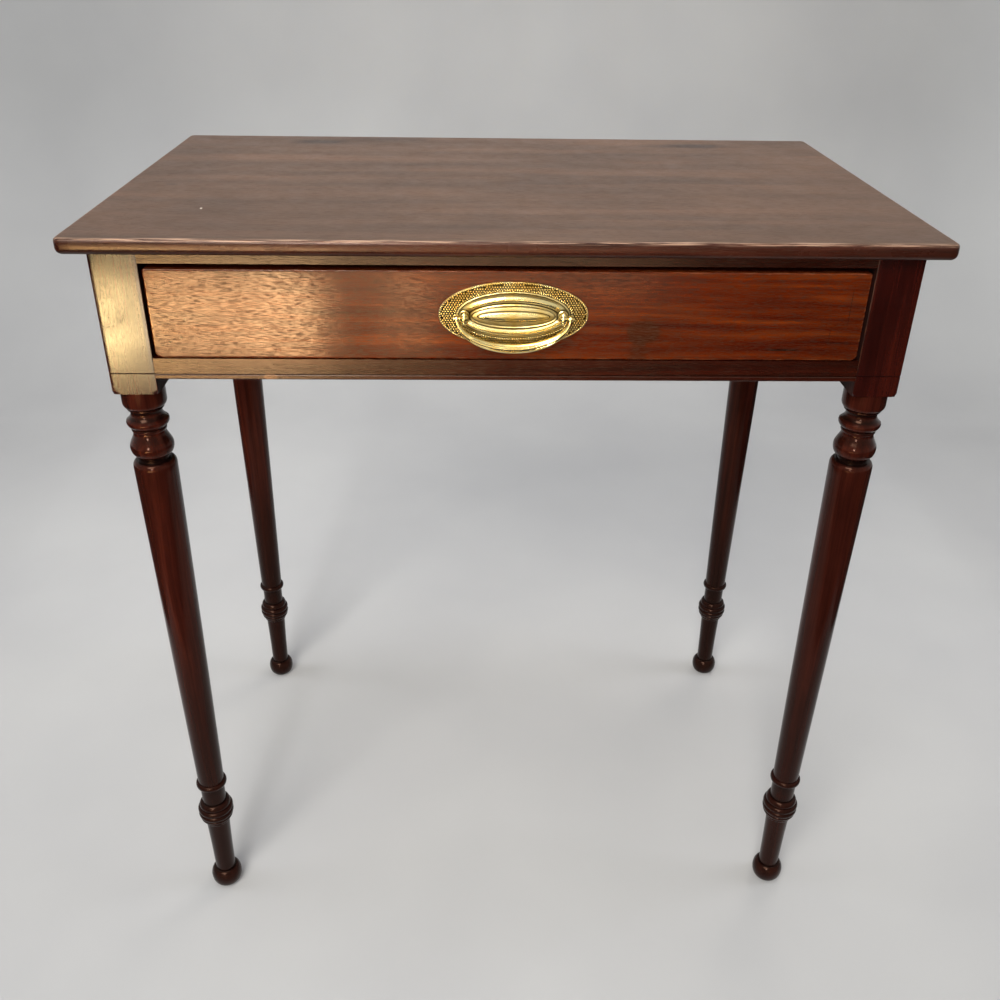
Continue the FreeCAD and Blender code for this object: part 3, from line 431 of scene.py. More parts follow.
def quarter(start, end, steps, hollow=False):
    # a quarter round between two profile steps
    turns = [math.radians(90 * step / steps) for step in range(1, steps + 1)]
    shares = [(math.sin(t), 1 - math.cos(t)) if hollow else (1 - math.cos(t), math.sin(t)) for t in turns]
    return [(between(start[0], end[0], x), between(start[1], end[1], y)) for x, y in shares]


# top: one thin board, rounded over above and more deeply below
top = {"corner": 6, "upper": 3.2, "lower": 5.0, "flatRim": 14, "spacing": 9, "wander": 0.04,
       "edgeFacing": 0.75,  # faces that look up less than this take the edge's wood
       "wear": 0.6, "wearIn": (-3.4, -2.0), "wearUp": (0.6, 2.0), "dirt": 0.6, "shadeUp": 3}
topLow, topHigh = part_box("top_board")
under, upper = topLow.z, topHigh.z
edgeMiddle = under + top["lower"] * mm
edgeTop = upper - top["upper"] * mm
profile = [(top["flatRim"], under), (top["lower"] + 1, under), (top["lower"], under)]
profile += quarter((top["lower"], under), (0, edgeMiddle), 5, hollow=True)
profile += [(0, between(edgeMiddle, edgeTop, 0.5)), (0, edgeTop)]
profile += quarter((0, edgeTop), (top["upper"], upper), 5)
profile += [(top["upper"] + 1, upper), (top["flatRim"], upper)]
points, faces = easedBoard(topLow, topHigh, 2, profile, (top["corner"],) * 4, top["spacing"], top["wander"])
topBoard = addPiece("topBoard", points, faces, "frame", sheenTopWood, ["top_board"], 40)


def topWear(co):
    rim = max(abs(co.x) - topHigh.x, abs(co.y) - topHigh.y)
    return top["wear"] * smooth(*top["wearIn"], rim / mm) * smooth(*top["wearUp"], (co.z - edgeTop) / mm)


setShare(topBoard, "wear", topWear)
# painted shade: the top's edge darkens towards the underside
setShare(topBoard, "dirt", lambda co: top["dirt"] * (1 - smooth(0, top["shadeUp"], (co.z - under) / mm)))
topBoard.data.materials.append(shadedEdgeWood)
# faces that look up take the paler top wood, the rest the darker edge wood: painted sheen and shade
for part in topBoard.data.polygons:
    part.material_index = 1 if part.normal.z < top["edgeFacing"] else 0
print("top made")


# legs: turned below, square above, drawn as rings from the floor up
leg = {
    "height": 715, "blockFrom": 597, "sides": 64, "arris": 0.2, "cornerTurn": 1.5,
    "quirk": (4.2, 5.4), "quirkDepth": 1.3, "quirkEase": (0.4, 0.25), "plainFrom": 24, "plainSteps": 8,
    # radius and height of the block's turned shoulder, then how far past them it goes
    "pommel": (24.8, 4), "pommelRun": 1.3, "pommelOut": 1.45,
    "entasis": 0.15, "shankHollow": 0.25, "inwardFacing": 0.9,
    "wax": 0.95, "waxShadeDepth": (0.6, 3.4), "waxShadeReach": 4, "waxShadeBelow": 0.5,
    # painted shade darkens the legs towards the floor, the rear legs more: rear and front legs, then from and
    # to this height
    "footShade": (0.75, 0.68), "footReach": (120, 420),
    "wear": 0.25, "wearReach": (0.2, 1.0),
}


def bow(start, end, bulge, steps=10):
    # a bead or a hollow from one radius and height to another
    turns = [math.pi * step / steps for step in range(1, steps + 1)]
    return [(between(start[0], end[0], (1 - math.cos(t)) / 2) + bulge * math.sin(t),
             between(start[1], end[1], (1 - math.cos(t)) / 2)) for t in turns]


def ogee(start, end, steps):
    shares = [step / steps for step in range(1, steps + 1)]
    return [(between(start[0], end[0], smooth(0, 1, s)), between(start[1], end[1], s)) for s in shares]


def taper(start, end, swell, steps=24):
    shares = [step / steps for step in range(1, steps + 1)]
    return [(between(start[0], end[0], s) + swell * 4 * s * (1 - s), between(start[1], end[1], s))
            for s in shares]


def legTurning():
    # radius and height in mm
    line = [(0.1, 0), (7.4, 0), (9.4, 0.3)]
    line += quarter((10.6, 0.9), (16.0, 12.2), 9, hollow=True)  # ball foot
    line += quarter((16.0, 12.2), (10.4, 22.5), 9)
    line += taper((10.4, 22.5), (12.0, 93.6), -leg["shankHollow"])
    line += bow((12.0, 93.8), (13.3, 97.8), 1.3)  # lip under the knop
    line += bow((13.4, 98.0), (15.7, 103.6), 1.95)  # knop: a ball of rings
    line += bow((15.8, 103.8), (16.0, 110.0), 2.1)
    line += bow((16.0, 110.2), (15.4, 116.4), 2.3)
    line += quarter((16.0, 117.4), (12.1, 123.3), 8)
    line += [(12.1, 130), (12.1, 144.0)]
    line += bow((12.4, 144.2), (13.1, 151.8), 2.75)  # astragal
    line += taper((13.1, 152.0), (18.4, 524.6), leg["entasis"], 60)
    line += quarter((18.4, 524.6), (14.6, 530.0), 7)
    line += [(13.1, 530.2), (13.0, 531.5), (13.0, 534.3)]
    line += quarter((13.2, 534.5), (18.2, 543.1), 9, hollow=True)  # onion
    line += ogee((18.2, 543.1), (13.4, 557.0), 14)
    line += bow((13.7, 557.4), (14.1, 560.6), 0.7, 8)
    line += [(14.4, 561.0), (15.3, 562.0), (16.7, 563.4), (17.5, 565.0), (17.7, 566.5), (17.4, 567.7)]  # ring
    line += [(16.2, 568.8), (14.8, 570.2), (13.7, 571.8), (13.1, 573.5), (13.0, 575.2), (13.5, 577.2)]  # cove
    line += [(15.0, 577.9), (15.4, 578.5), (15.3, 579.5), (14.7, 579.8)]
    line += quarter((14.9, 580.0), (18.2, 585.0), 7, hollow=True)  # ovolo
    line += [(18.2, 590), (18.2, 596.9)]
    return line


def makeLeg(node, front):
    low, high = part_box(node)
    centre = ((low.x + high.x) / 2, (low.y + high.y) / 2)
    half = (high.x - low.x) / 2
    blockLow = between(low.z, high.z, leg["blockFrom"] / leg["height"])
    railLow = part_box("front_bottom_rail")[0].z
    line = legTurning()
    angles = sorted({2 * math.pi * step / leg["sides"] for step in range(leg["sides"])}
                    | {math.radians(45 + 90 * side + turn) for side in range(4)
                       for turn in (-leg["cornerTurn"], leg["cornerTurn"])})
    points = []
    for radius, height in line:
        points += [(centre[0] + radius * mm * math.cos(a), centre[1] + radius * mm * math.sin(a), height * mm)
                   for a in angles]
    corner = half * math.sqrt(2) - leg["arris"] * mm
    pommelRadius, pommelHeight = leg["pommel"]
    heights = [pommelHeight * share for share in (0, 0.1, 0.25, 0.5, 0.75, 1, leg["pommelRun"])]
    quirks = [railLow / mm - blockLow / mm + q for q in leg["quirk"]]
    off, into = leg["quirkEase"]
    heights += [quirks[0] - off, quirks[0], quirks[0] + into, quirks[1] - into, quirks[1], quirks[1] + off]
    plainTo, steps = (high.z - blockLow) / mm, leg["plainSteps"]
    heights += [between(leg["plainFrom"], plainTo, step / steps) for step in range(steps + 1)]
    for height in heights:
        opened = smooth(0, pommelHeight * leg["pommelRun"], height)
        turned = between(pommelRadius, half / mm * leg["pommelOut"], opened) * mm
        sunk = leg["quirkDepth"] * mm if front and quirks[0] < height < quirks[1] else 0
        for angle in angles:
            flat = half / max(abs(math.cos(angle)), abs(math.sin(angle)))
            reach = min(flat, corner, max(turned, half))
            y = max(reach * math.sin(angle), sunk - half)
            points.append((centre[0] + reach * math.cos(angle), centre[1] + y, blockLow + height * mm))
    faces = ringFaces(len(angles), len(points) // len(angles))
    name = "".join(word.capitalize() if index else word for index, word in enumerate(node.split("_")))
    piece = addPiece(name, points, faces, "frame", legWood, [node], 30)

    def dirt(co):
        # painted shade, with old wax, where the turning is narrow between two wider members
        if co.z > blockLow - leg["waxShadeBelow"] * mm:
            return 0
        radius = math.hypot(co.x - centre[0], co.y - centre[1]) / mm
        nearby = [r for r, z in line if abs(z - co.z / mm) < leg["waxShadeReach"]]
        lines = leg["wax"] * smooth(*leg["waxShadeDepth"], max(nearby, default=radius) - radius)
        # the feet darker still: painted shade
        return max(lines, leg["footShade"][front] * (1 - smooth(*leg["footReach"], co.z / mm)))

    def wear(co):
        if co.z < blockLow:
            return 0
        edge = abs(abs(co.x - centre[0]) - half) + abs(abs(co.y - centre[1]) - half)
        return leg["wear"] * (1 - smooth(*leg["wearReach"], edge / mm))

    setShare(piece, "dirt", dirt)
    setShare(piece, "wear", wear)
    piece.data.materials.append(blockWood)
    piece.data.materials.append(innerShadedWood)
    inward = (-math.copysign(1, centre[0]), -math.copysign(1, centre[1]))
    # the block's inward faces take the darker, unpolished wood: painted shade
    for face in piece.data.polygons:
        if face.center.z > blockLow:
            inner = max(face.normal.x * inward[0], face.normal.y * inward[1]) > leg["inwardFacing"]
            face.material_index = 2 if inner else 1


for node in ("front_left_leg", "front_right_leg", "rear_left_leg", "rear_right_leg"):
    makeLeg(node, node.startswith("front"))
print("legs turned")


# drawer front: a planed board whose lower corners have rubbed round on the runners
drawerFront = {"arris": 0.7, "corners": (5.5, 5.0, 1.6, 1.6), "rim": 9, "spacing": 10, "wander": 0.12,
               "wear": 0.22, "wearRim": 1.2, "wearIn": (-0.5, 0.4), "wearDepth": 3}
frontLow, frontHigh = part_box("drawer_front")
arris, rim = drawerFront["arris"], drawerFront["rim"]
# from the back edge round to the face
profile = [(rim, frontHigh.y), (arris, frontHigh.y), (0.3, frontHigh.y - 0.1 * mm)]
profile += [(0, frontHigh.y - arris * mm), (0, between(frontHigh.y, frontLow.y, 0.5))]
profile += [(0, frontLow.y + arris * mm)] + quarter((0, frontLow.y + arris * mm), (arris, frontLow.y), 4)
profile += [(arris + 1, frontLow.y), (rim, frontLow.y)]
points, faces = easedBoard(frontLow, frontHigh, 1, profile, drawerFront["corners"], drawerFront["spacing"],
                           drawerFront["wander"])
drawerBoard = addPiece("drawerFrontBoard", points, faces, "drawer", drawerWood,
                       ["drawer_front"], 40)


def frontWear(co):
    middle, half = (frontLow.z + frontHigh.z) / 2, (frontHigh.z - frontLow.z) / 2
    past = max(abs(co.x) - frontHigh.x, abs(co.z - middle) - half) / mm + drawerFront["wearRim"]
    inFront = co.y < frontLow.y + drawerFront["wearDepth"] * mm
    return drawerFront["wear"] * smooth(*drawerFront["wearIn"], past) * inFront


setShare(drawerBoard, "wear", frontWear)

# the solids that stay: rails in polished wood, bare woods inside with the grain the way each piece is cut
keptSolids = [
    (railWood, ["front_top_rail", "front_bottom_rail", "back_rail"]),
    (sideWood, ["left_side_rail", "right_side_rail"]),
    (pineLong, ["left_runner", "right_runner", "left_guide", "right_guide", "left_kicker", "right_kicker"]),
    (pineWide, ["glue_blocks", "drawer_bottom"]),
    (oakLong, ["drawer_left_side", "drawer_right_side"]),
    (oakWide, ["drawer_stops", "drawer_back"]),
    (iron, ["drawer_bottom_nails"]),
    (castBrass, ["handle_nuts"]),
]
for material, names in keptSolids:
    for name in names:
        nodes[name].data.materials.clear()
        nodes[name].data.materials.append(material)
print("boards made")


# oval pull: sheet brass struck in a die, with two toothed borders and a dotted ground between them
pull = {
    "steps": 240,
    # half width, half height, rise, dirt: from the outer edge to the middle
    "bands": [
        (59.2, 26.8, 0.0, 0.3), (59.2, 26.8, 0.8, 0.2), (58.9, 26.5, 1.3, 0.1), (58.2, 25.8, 1.5, 0.95),
        (57.5, 25.1, 1.3, 1), (57.0, 24.6, 1.0, 1), (52.0, 23.0, 1.0, 1), (47.6, 21.2, 1.0, 1),
        (47.0, 20.7, 1.3, 1), (46.2, 19.9, 1.7, 1), (45.5, 19.3, 1.5, 1), (45.0, 18.9, 1.3, 1),
        (44.6, 18.6, 1.4, 0.5), (44.1, 18.3, 1.6, 0.1), (43.6, 18.0, 1.6, 0.2), (43.1, 17.7, 1.6, 1),
        (42.6, 17.2, 2.3, 0.8), (41.8, 16.4, 3.8, 0.1), (40.6, 15.3, 4.9, 0), (39.2, 14.1, 5.5, 0),
        (37.8, 12.8, 5.6, 0), (36.5, 11.7, 5.2, 0.1), (35.6, 10.8, 4.6, 0.9), (34.9, 10.1, 4.4, 1),
        (34.4, 9.6, 4.9, 0.1), (33.8, 9.1, 5.2, 0), (33.3, 8.7, 5.0, 0.2), (32.8, 8.2, 4.4, 1),
        (32.0, 7.5, 4.4, 0.6), (31.0, 6.6, 4.6, 0.25), (29.2, 5.0, 5.1, 0.3), (28.6, 4.5, 5.0, 1),
        (28.1, 4.0, 5.2, 0.9), (27.7, 3.6, 6.0, 0.1), (27.0, 3.1, 6.5, 0), (25.5, 2.4, 6.6, 0),
        (22.0, 1.4, 6.8, 0.2), (17.0, 0.4, 6.9, 0.3)],
    "border": range(3, 11), "borderClean": 0.88,  # the border is rubbed cleaner above and below
    "dome": (15, 24), "domeBase": 1.4, "domeEnd": 0.5,  # the dome's swell dies away towards the posts
    "ropes": [(58.2, 25.8, 1.4), (46.2, 19.9, 1.6)], "postDirtAndShade": 0.9, "postReach": (4.4, 7.0),
    # teeth and dots are drawn a little coarser than the real ones, so that they show
    "tooth": {"pitch": 1.9, "size": (0.68, 1.15, 0.95), "slant": 35},
    "ground": {"outer": (57.0, 24.6), "inner": (47.0, 20.6), "rise": 1.05},
    "dot": {"pitch": 2.1, "row": 1.8, "size": (0.84, 0.84, 1.0), "grid": (29, 14)},
    # a tooth or a dot: lift, reach and dirt of each ring, from its foot up
    "bumpSides": 8, "bumpRings": [(-0.2, 1, 0.6), (0.5, 0.85, 0), (0.85, 0.5, 0)],
}
post = {"spacing": 77.5, "sides": 40, "bolt": 2.4,
        # radius and height over the drawer's face, from the tail out: stem, collar, ring and waist
        "stem": [(2.4, 1.6), (4.2, 2.2), (4.3, 2.9), (4.1, 3.8), (3.3, 4.3), (2.9, 4.5), (3.2, 4.9),
                 (3.45, 5.6), (3.35, 6.4), (2.9, 7.0), (2.6, 7.3)],
        "tip": [(2.6, 0), (0.4, 0.2)],
        "egg": (3.6, 5.8), "eggSteps": 36, "grooves": (-0.34, 0.36), "grooveWidth": 0.09, "grooveDepth": 0.09,
        "dirt": 0.9, "dirtFoot": (1.5, 2.6), "dirtLines": [(4.5, 0.35), (7.2, 0.5)]}
bail = {"half": 46, "drop": 28.4, "arm": 3.3, "grip": 7.6, "thick": 4.6, "square": 0.8, "sections": 90,
        "around": 40, "reed": 0.34, "reedWidth": 0.09, "reedDepth": 0.45, "reedFrom": (0.35, 0.8),
        # the pin: radius, and place out from the pull's middle
        "hub": 2.5, "pinSides": 28,
        "pin": [(0.2, 48.0), (0.9, 47.9), (1.3, 47.4), (1.3, 46.2), (2.2, 46.1), (2.5, 45.7), (2.5, 43.0),
                (2.2, 42.7), (1.3, 42.6), (1.3, 37.2), (0.3, 37.0)]}
plateLow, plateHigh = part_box("handle_backplate")
pullX = (plateLow.x + plateHigh.x) / 2
pullZ = (plateLow.z + plateHigh.z) / 2
face = plateHigh.y
points, plateDirtAndShade = [], []
for index, (halfWidth, halfHeight, rise, dirt) in enumerate(pull["bands"]):
    for step in range(pull["steps"]):
        turn = 2 * math.pi * step / pull["steps"]
        lift = rise
        if pull["dome"][0] < index < pull["dome"][1]:
            lift = between(pull["domeBase"], rise, 1 - pull["domeEnd"] * math.cos(turn) ** 4)
        points.append((pullX + halfWidth * math.cos(turn) * mm, face - lift * mm,
                       pullZ + halfHeight * math.sin(turn) * mm))
        if index in pull["border"]:
            dirt = between(pull["borderClean"], 1, abs(math.cos(turn)))
        # painted shade on the plate round each post, darkest next to it
        toPost = math.hypot(abs(halfWidth * math.cos(turn)) - post["spacing"] / 2,
                            halfHeight * math.sin(turn))
        plateDirtAndShade.append(max(dirt, pull["postDirtAndShade"] * (1 - smooth(*pull["postReach"], toPost))))
faces = ringFaces(pull["steps"], len(pull["bands"]))


def addDot(x, z, rise, size, turn):
    # one struck bump: a low dome, dark round its foot
    first, sides = len(points), pull["bumpSides"]
    for lift, reach, dirt in pull["bumpRings"]:
        for side in range(sides):
            angle = 2 * math.pi * side / sides
            across, along = size[0] * reach * math.cos(angle), size[1] * reach * math.sin(angle)
            points.append((pullX + (x + across * math.cos(turn) - along * math.sin(turn)) * mm,
                           face - (rise + size[2] * lift) * mm,
                           pullZ + (z + across * math.sin(turn) + along * math.cos(turn)) * mm))
            plateDirtAndShade.append(dirt)
    faces.extend(ringFaces(sides, len(pull["bumpRings"]), first))


def alongOval(halfWidth, halfHeight, pitch):
    # evenly spaced places on an oval, each with the way the oval faces there
    fine = 1440
    line = []
    for step in range(fine + 1):
        turn = 2 * math.pi * step / fine
        facing = math.atan2(halfWidth * math.sin(turn), halfHeight * math.cos(turn))
        line.append((halfWidth * math.cos(turn), halfHeight * math.sin(turn), facing))
    girth = sum(math.dist(a[:2], b[:2]) for a, b in zip(line, line[1:]))
    gap = girth / round(girth / pitch)
    places, due, travelled = [], 0, 0
    for a, b in zip(line, line[1:]):
        if travelled >= due - 1e-6 and due < girth - gap / 4:
            places.append(a)
            due += gap
        travelled += math.dist(a[:2], b[:2])
    return places


tooth, dot, ground = pull["tooth"], pull["dot"], pull["ground"]
for halfWidth, halfHeight, rise in pull["ropes"]:
    for x, z, facing in alongOval(halfWidth, halfHeight, tooth["pitch"]):
        addDot(x, z, rise, tooth["size"], facing - math.radians(90 - tooth["slant"]))
columns, rows = dot["grid"]
for row in range(-rows, rows + 1):
    for column in range(-columns, columns + 1):
        x, z = (column + 0.5 * (row % 2)) * dot["pitch"], (row + 0.5) * dot["row"]
        inside = math.hypot(x / ground["outer"][0], z / ground["outer"][1]) < 1
        if inside and math.hypot(x / ground["inner"][0], z / ground["inner"][1]) > 1:
            addDot(x, z, ground["rise"], dot["size"], 0)
backplate = addPiece("pullBackplate", points, faces, "drawer", plateBrass, ["handle_backplate"], 50)
backplate.data.attributes.new("dirt", "FLOAT", "POINT").data.foreach_set("value", plateDirtAndShade)
print("backplate struck:", len(faces), "faces")


def lathe(profile, sides, place, turnedOver=False):
    # adds rings of radius and height to the piece in hand, set in place by a function of across, up and along
    first = len(points)
    for radius, height in profile:
        for side in range(sides):
            turn = 2 * math.pi * side / sides
            points.append(place(radius * math.cos(turn) * mm, radius * math.sin(turn) * mm, height * mm))
    for corners in ringFaces(sides, len(profile), first):
        faces.append(tuple(reversed(corners)) if turnedOver else corners)


# posts: turned bolts with egg-shaped heads, on which the bail's pins hang
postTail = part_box("handle_posts")[1].y
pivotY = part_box("handle_bail")[1].y - bail["hub"] * mm
standOff = (face - pivotY) / mm
profile = [(post["bolt"], (postTail - face) / mm)] + [(radius, -height) for radius, height in post["stem"]]
profile += [(radius, -standOff - height) for radius, height in post["tip"]]
eggLine = []
for step in range(1, post["eggSteps"]):
    turn = math.radians(180 * step / post["eggSteps"])
    rise = -math.cos(turn)
    waist = sum(math.exp(-((rise - groove) / post["grooveWidth"]) ** 2) for groove in post["grooves"])
    radius = post["egg"][0] * math.sin(turn) * (1 - post["grooveDepth"] * waist)
    eggLine.append((radius, post["egg"][1] * rise))
points, faces = [], []
for side in (-1, 1):
    x = pullX + side * post["spacing"] / 2 * mm
    lathe(profile, post["sides"], lambda u, v, h: (x + u, face + h, pullZ + v))
    lathe(eggLine, post["sides"], lambda u, v, h: (x + u, pivotY + v, pullZ + h))
posts = addPiece("pullPosts", points, faces, "drawer", castBrass, ["handle_posts"], 40)


def postDirtAndShade(co):
    rise = (face - co.y) / mm
    lines = [math.exp(-((rise - line) / width) ** 2) for line, width in post["dirtLines"]]
    return post["dirt"] * max(1 - smooth(*post["dirtFoot"], rise), *lines)


setShare(posts, "dirt", postDirtAndShade)

# bail: a drooping oval bar, reeded along the grip, hung on pins
points = []
for step in range(bail["sections"] + 1):
    turn = math.pi * step / bail["sections"]
    outer = Vector((-bail["half"] * math.cos(turn), -bail["drop"] * math.sin(turn)))
    inner = Vector((-(bail["half"] - bail["arm"]) * math.cos(turn),
                    -(bail["drop"] - bail["grip"]) * math.sin(turn)))
    middle = (outer + inner) / 2
    across = (outer - inner) / 2
    reeded = smooth(*bail["reedFrom"], math.sin(turn))
    for side in range(bail["around"]):
        angle = 2 * math.pi * side / bail["around"]
        u = math.copysign(abs(math.cos(angle)) ** bail["square"], math.cos(angle))
        v = math.copysign(abs(math.sin(angle)) ** bail["square"], math.sin(angle)) * bail["thick"] / 2
        if v < 0:  # two dark lines part the grip's front in three
            gaps = [(u - reed) / bail["reedWidth"] for reed in (-bail["reed"], bail["reed"])]
            v += bail["reedDepth"] * max(math.exp(-gap ** 2) for gap in gaps) * reeded
        spot = middle + across * u
        points.append((pullX + spot.x * mm, pivotY + v * mm, pullZ + spot.y * mm))
faces = ringFaces(bail["around"], bail["sections"] + 1)
for side in (-1, 1):
    lathe(bail["pin"], bail["pinSides"], lambda u, v, h: (pullX + side * h, pivotY + u, pullZ + v), side > 0)
addPiece("pullBail", points, faces, "bail", castBrass, ["handle_bail"], 50)
print("pull made")


# floor and paper: one pale matt sweep
stageLook = {
    "back": 1.7, "rise": 2.8, "bend": 0.6, "bendSteps": 12, "half": 14.0, "near": -14.0,
    "pale": "#b9baba", "dark": "#b1b2b3", "mottlesPerMetre": 3, "paperRough": 0.8,
    "room": "#e6e6e4", "roomLevel": 0.8, "sky": "#e4e8ee", "skyLevel": 0.15,
    "plain": (0.95, 0.6, 1.7), "fade": 0.9,  # plain this far to the sides, to the front and up
}


def seenRays(tree):
    # rays that show a background: straight to the camera, or by way of metal or glass
    path = addNode(tree, "LightPath").outputs
    seen = addNode(tree, "Math", {"operation": "MAXIMUM"},
                   {0: path["Is Camera Ray"], 1: path["Is Glossy Ray"]})
    return addNode(tree, "Math", {"operation": "MAXIMUM"},
                   {0: seen.outputs[0], 1: path["Is Transmission Ray"]})


def addStage(name, points, faces, material):
    mesh = bpy.data.meshes.new(name)
    mesh.from_pydata(points, [], faces)
    mesh.shade_smooth()
    mesh.materials.append(material)
    piece = bpy.data.objects.new(name, mesh)
    bpy.context.scene.collection.objects.link(piece)
    return piece


material, tree, shader = newMaterial("palePaper")
place = addNode(tree, "TexCoord").outputs["Object"]
paper = addNode(tree, "TexNoise", {"Scale": stageLook["mottlesPerMetre"], "Detail": 3}, {"Vector": place})
paperTint = addNode(tree, "ValToRGB", {"stops": [(0.3, stageLook["dark"]), (0.7, stageLook["pale"])]},
                    {0: paper.outputs[0]})
tree.links.new(paperTint.outputs[0], shader.inputs["Base Color"])
shader.inputs["Roughness"].default_value = stageLook["paperRough"]
# past the plain middle the paper fades into the room, so no far edge shows
sidePlain, frontPlain, upPlain = stageLook["plain"]
apart = addNode(tree, "SeparateXYZ", {}, {0: place})
wide = addNode(tree, "Math", {"operation": "ABSOLUTE"}, {0: apart.outputs[0]})
aside = addNode(tree, "Math", {"operation": "SUBTRACT", 1: sidePlain}, {0: wide.outputs[0]})
before = addNode(tree, "Math", {"operation": "MULTIPLY_ADD", 1: -1, 2: -frontPlain}, {0: apart.outputs[1]})
overhead = addNode(tree, "Math", {"operation": "SUBTRACT", 1: upPlain}, {0: apart.outputs[2]})
away = addNode(tree, "Math", {"operation": "MAXIMUM"}, {0: aside.outputs[0], 1: before.outputs[0]})
away = addNode(tree, "Math", {"operation": "MAXIMUM"}, {0: away.outputs[0], 1: overhead.outputs[0]})
share = addNode(tree, "MapRange", {"interpolation_type": "SMOOTHSTEP", 1: 0, 2: stageLook["fade"]},
                {0: away.outputs[0]})
far = addNode(tree, "Math", {"operation": "MULTIPLY"}, {0: share.outputs[0], 1: seenRays(tree).outputs[0]})
haze = addNode(tree, "Emission", {"Color": linear(stageLook["room"]), "Strength": stageLook["roomLevel"]})
paperMix = addNode(tree, "MixShader", {}, {0: far.outputs[0], 1: shader.outputs[0], 2: haze.outputs[0]})
tree.links.new(paperMix.outputs[0], tree.nodes["Material Output"].inputs["Surface"])
bend, bendFrom = stageLook["bend"], stageLook["back"] - stageLook["bend"]
sweep = [(stageLook["near"], 0), (bendFrom, 0)]
for step in range(1, stageLook["bendSteps"] + 1):
    turn = math.radians(90 * step / stageLook["bendSteps"])
    sweep.append((bendFrom + bend * math.sin(turn), bend * (1 - math.cos(turn))))
sweep.append((stageLook["back"], stageLook["rise"]))
addStage("paperSweep", [(side * stageLook["half"], y, z) for y, z in sweep for side in (-1, 1)],
         [(2 * i, 2 * i + 1, 2 * i + 3, 2 * i + 2) for i in range(len(sweep) - 1)], material)


# dark sheets on the floor round the stage, out of the camera's sight, casting no shadow and lighting nothing:
# painted shade that the polish mirrors, so that the legs' edges come out dark
shadeSheets = {
    "height": 0.004, "dark": "#0f0d0c", "light": "#1a1716", "weave": 25, "rough": 0.95,
    "sheets": {
        "shadeSheetLeft": (-4.6, -0.8, -4.6, 1.0), "shadeSheetRight": (0.8, 4.6, -0.62, 1.0),
        "shadeSheetFront": (0.6, 4.6, -4.6, -0.62), "shadeSheetNear": (-0.8, 0.6, -2.2, -0.62),
    },
}
material, tree, shader = newMaterial("paintedShadeSheet")
weave = addNode(tree, "TexNoise", {"Scale": 1 / (shadeSheets["weave"] * mm), "Detail": 3},
                {"Vector": addNode(tree, "TexCoord").outputs["Object"]})
sheetTint = addNode(tree, "ValToRGB", {"stops": [(0.3, shadeSheets["dark"]), (0.7, shadeSheets["light"])]},
                    {0: weave.outputs[0]})
tree.links.new(sheetTint.outputs[0], shader.inputs["Base Color"])
shader.inputs["Roughness"].default_value = shadeSheets["rough"]
for name, (x0, x1, y0, y1) in shadeSheets["sheets"].items():
    corners = [(x, y, shadeSheets["height"]) for x, y in ((x0, y0), (x1, y0), (x1, y1), (x0, y1))]
    piece = addStage(name, corners, [(0, 1, 2, 3)], material)
    piece.visible_camera = False
    piece.visible_shadow = False
    piece.visible_diffuse = False
print("stage set")


# light: a soft key high in front, weak fills and a back light, low warm panels that the front's left mirrors,
# and a small window for the highlights
glow = {"to": (-0.028, 0.565, 0.933), "spread": 45, "colour": "#ffe2b4"}
fill = {"size": (1.2, 1.2), "spread": 80, "colour": "#f6f7ff", "mirrored": False}
lamps = {
    "key": {"at": (-0.8, -2.1, 2.5), "to": (0, 0.25, 0.3), "size": (1.5, 1.2), "power": 19, "spread": 80,
            "colour": "#fffaf2"},
    "ceiling": {"at": (-0.2, -0.2, 3.0), "to": (0, 0, 0), "size": (1.6, 1.2), "power": 4.5, "spread": 90,
                "colour": "#ffffff"},
    "right": {**fill, "at": (2.4, 0.0, 1.6), "to": (0.3, 0, 0.45), "power": 4},
    "left": {**fill, "at": (-2.4, 0.0, 1.6), "to": (-0.3, 0, 0.45), "power": 3},
    "back": {"at": (0.9, 1.5, 1.7), "to": (0, 0.2, 0.5), "size": (1.2, 0.8), "power": 4, "spread": 90,
             "colour": "#fff6ea", "mirrored": False},
    "backdrop": {"at": (-0.4, 0.3, 2.6), "to": (-0.2, 1.7, 0.7), "size": (3.6, 0.5), "power": 17,
                 "spread": 130, "colour": "#fbfbff"},
    "glowBlock": {**glow, "at": (-0.925, -1.75, 0.095), "size": (0.15, 0.17), "power": 0.375,
                  "colour": "#ffdc98"},
    "glowLeft": {**glow, "at": (-0.675, -1.75, 0.12), "size": (0.25, 0.22), "power": 0.25},
    "glowDrawer": {**glow, "at": (-0.4725, -1.75, 0.12), "size": (0.155, 0.22), "power": 0.2},
    "glowStrip": {**glow, "at": (-0.185, -1.75, 0.12), "size": (0.12, 0.22), "power": 0.034},
    "card": {"at": (0.05, -2.3, 0.05), "to": (0.0, -0.2, 0.7), "size": (0.9, 0.5), "power": 0.8, "spread": 90,
             "colour": "#ffe4b4"},
    "window": {"at": (-0.55, -2.6, 1.15), "to": (0, 0, 0.45), "size": (0.3, 0.5), "power": 2.6, "spread": 60,
               "colour": "#ffffff"},
}
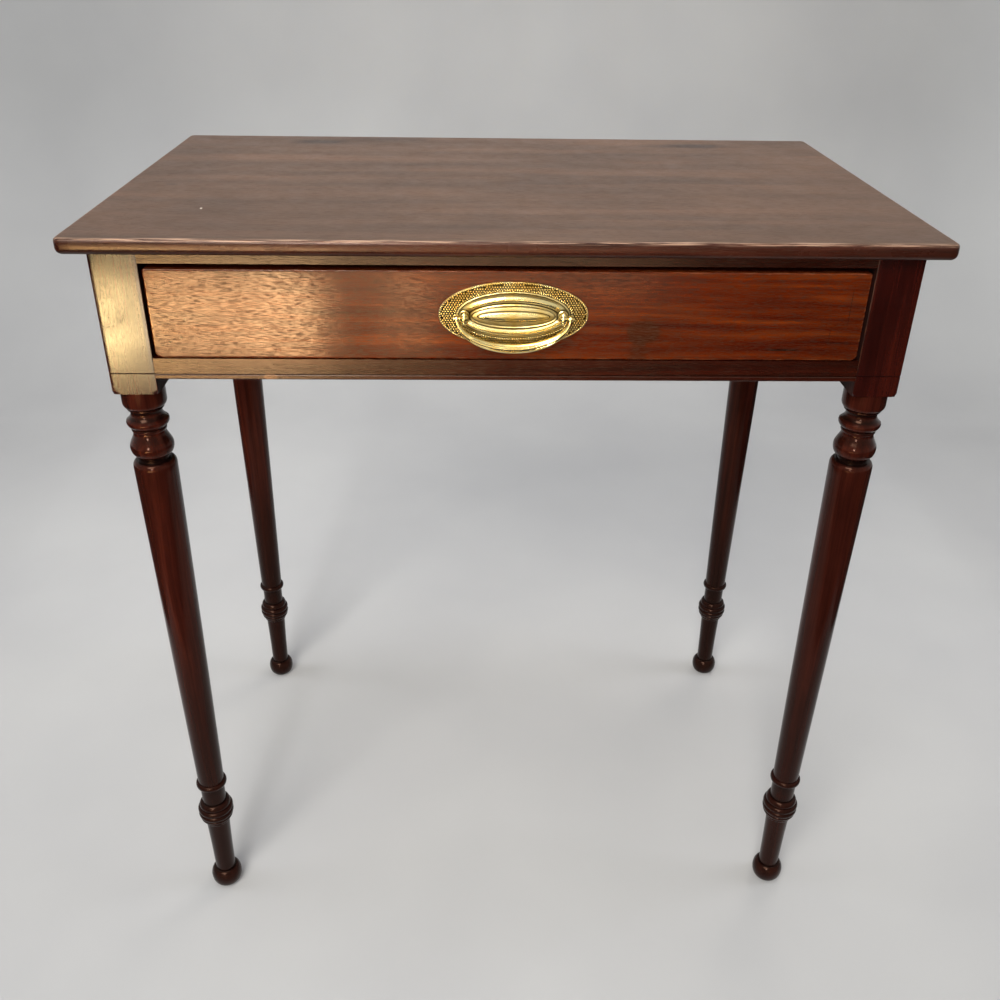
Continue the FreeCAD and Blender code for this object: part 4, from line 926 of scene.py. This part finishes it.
for name, lamp in lamps.items():
    data = bpy.data.lights.new(name, "AREA")
    data.shape = "RECTANGLE"
    data.size, data.size_y = lamp["size"]
    data.energy = lamp["power"]
    data.spread = math.radians(lamp["spread"])
    data.color = linear(lamp["colour"])[:3]
    piece = bpy.data.objects.new(name, data)
    piece.location = lamp["at"]
    aim = Vector(lamp["to"]) - Vector(lamp["at"])
    piece.rotation_euler = aim.to_track_quat("-Z", "Y").to_euler()
    piece.visible_camera = False
    piece.visible_glossy = lamp.get("mirrored", True)
    bpy.context.scene.collection.objects.link(piece)

world = bpy.data.worlds.new("studio")
world.use_nodes = True
bpy.context.scene.world = world
tree = world.node_tree
soft = tree.nodes["Background"]
soft.inputs["Color"].default_value = linear(stageLook["sky"])
soft.inputs["Strength"].default_value = stageLook["skyLevel"]
# the room looks pale to the camera and in the metal, and lights the table only a little
room = addNode(tree, "Background", {"Color": linear(stageLook["room"]), "Strength": stageLook["roomLevel"]})
both = addNode(tree, "MixShader", {}, {0: seenRays(tree).outputs[0], 1: soft.outputs[0], 2: room.outputs[0]})
tree.links.new(both.outputs[0], tree.nodes["World Output"].inputs["Surface"])
print("lamps lit")

# camera, as the photograph was taken
view = {"lens": 36.32, "sensor": 36, "at": (-27.64, -960.47, 932.56), "down": 29.648, "right": 1.666,
        "tilt": 0.871}
down, turn, tilt = (math.radians(view[key]) for key in ("down", "right", "tilt"))
ahead = Vector((math.sin(turn) * math.cos(down), math.cos(turn) * math.cos(down), -math.sin(down)))
level = Vector((math.cos(turn), -math.sin(turn), 0))
upright = level.cross(ahead)
right = level * math.cos(tilt) + upright * math.sin(tilt)
above = upright * math.cos(tilt) - level * math.sin(tilt)
camera = bpy.data.cameras.new("camera")
camera.lens = view["lens"]
camera.sensor_width = view["sensor"]
cameraObject = bpy.data.objects.new("camera", camera)
bpy.context.scene.collection.objects.link(cameraObject)
facing = Matrix((right, above, -ahead)).transposed().to_4x4()
cameraObject.matrix_world = Matrix.Translation(Vector(view["at"]) * mm) @ facing
bpy.context.scene.camera = cameraObject
bpy.context.scene.view_settings.view_transform = "Standard"

print("scene ready")
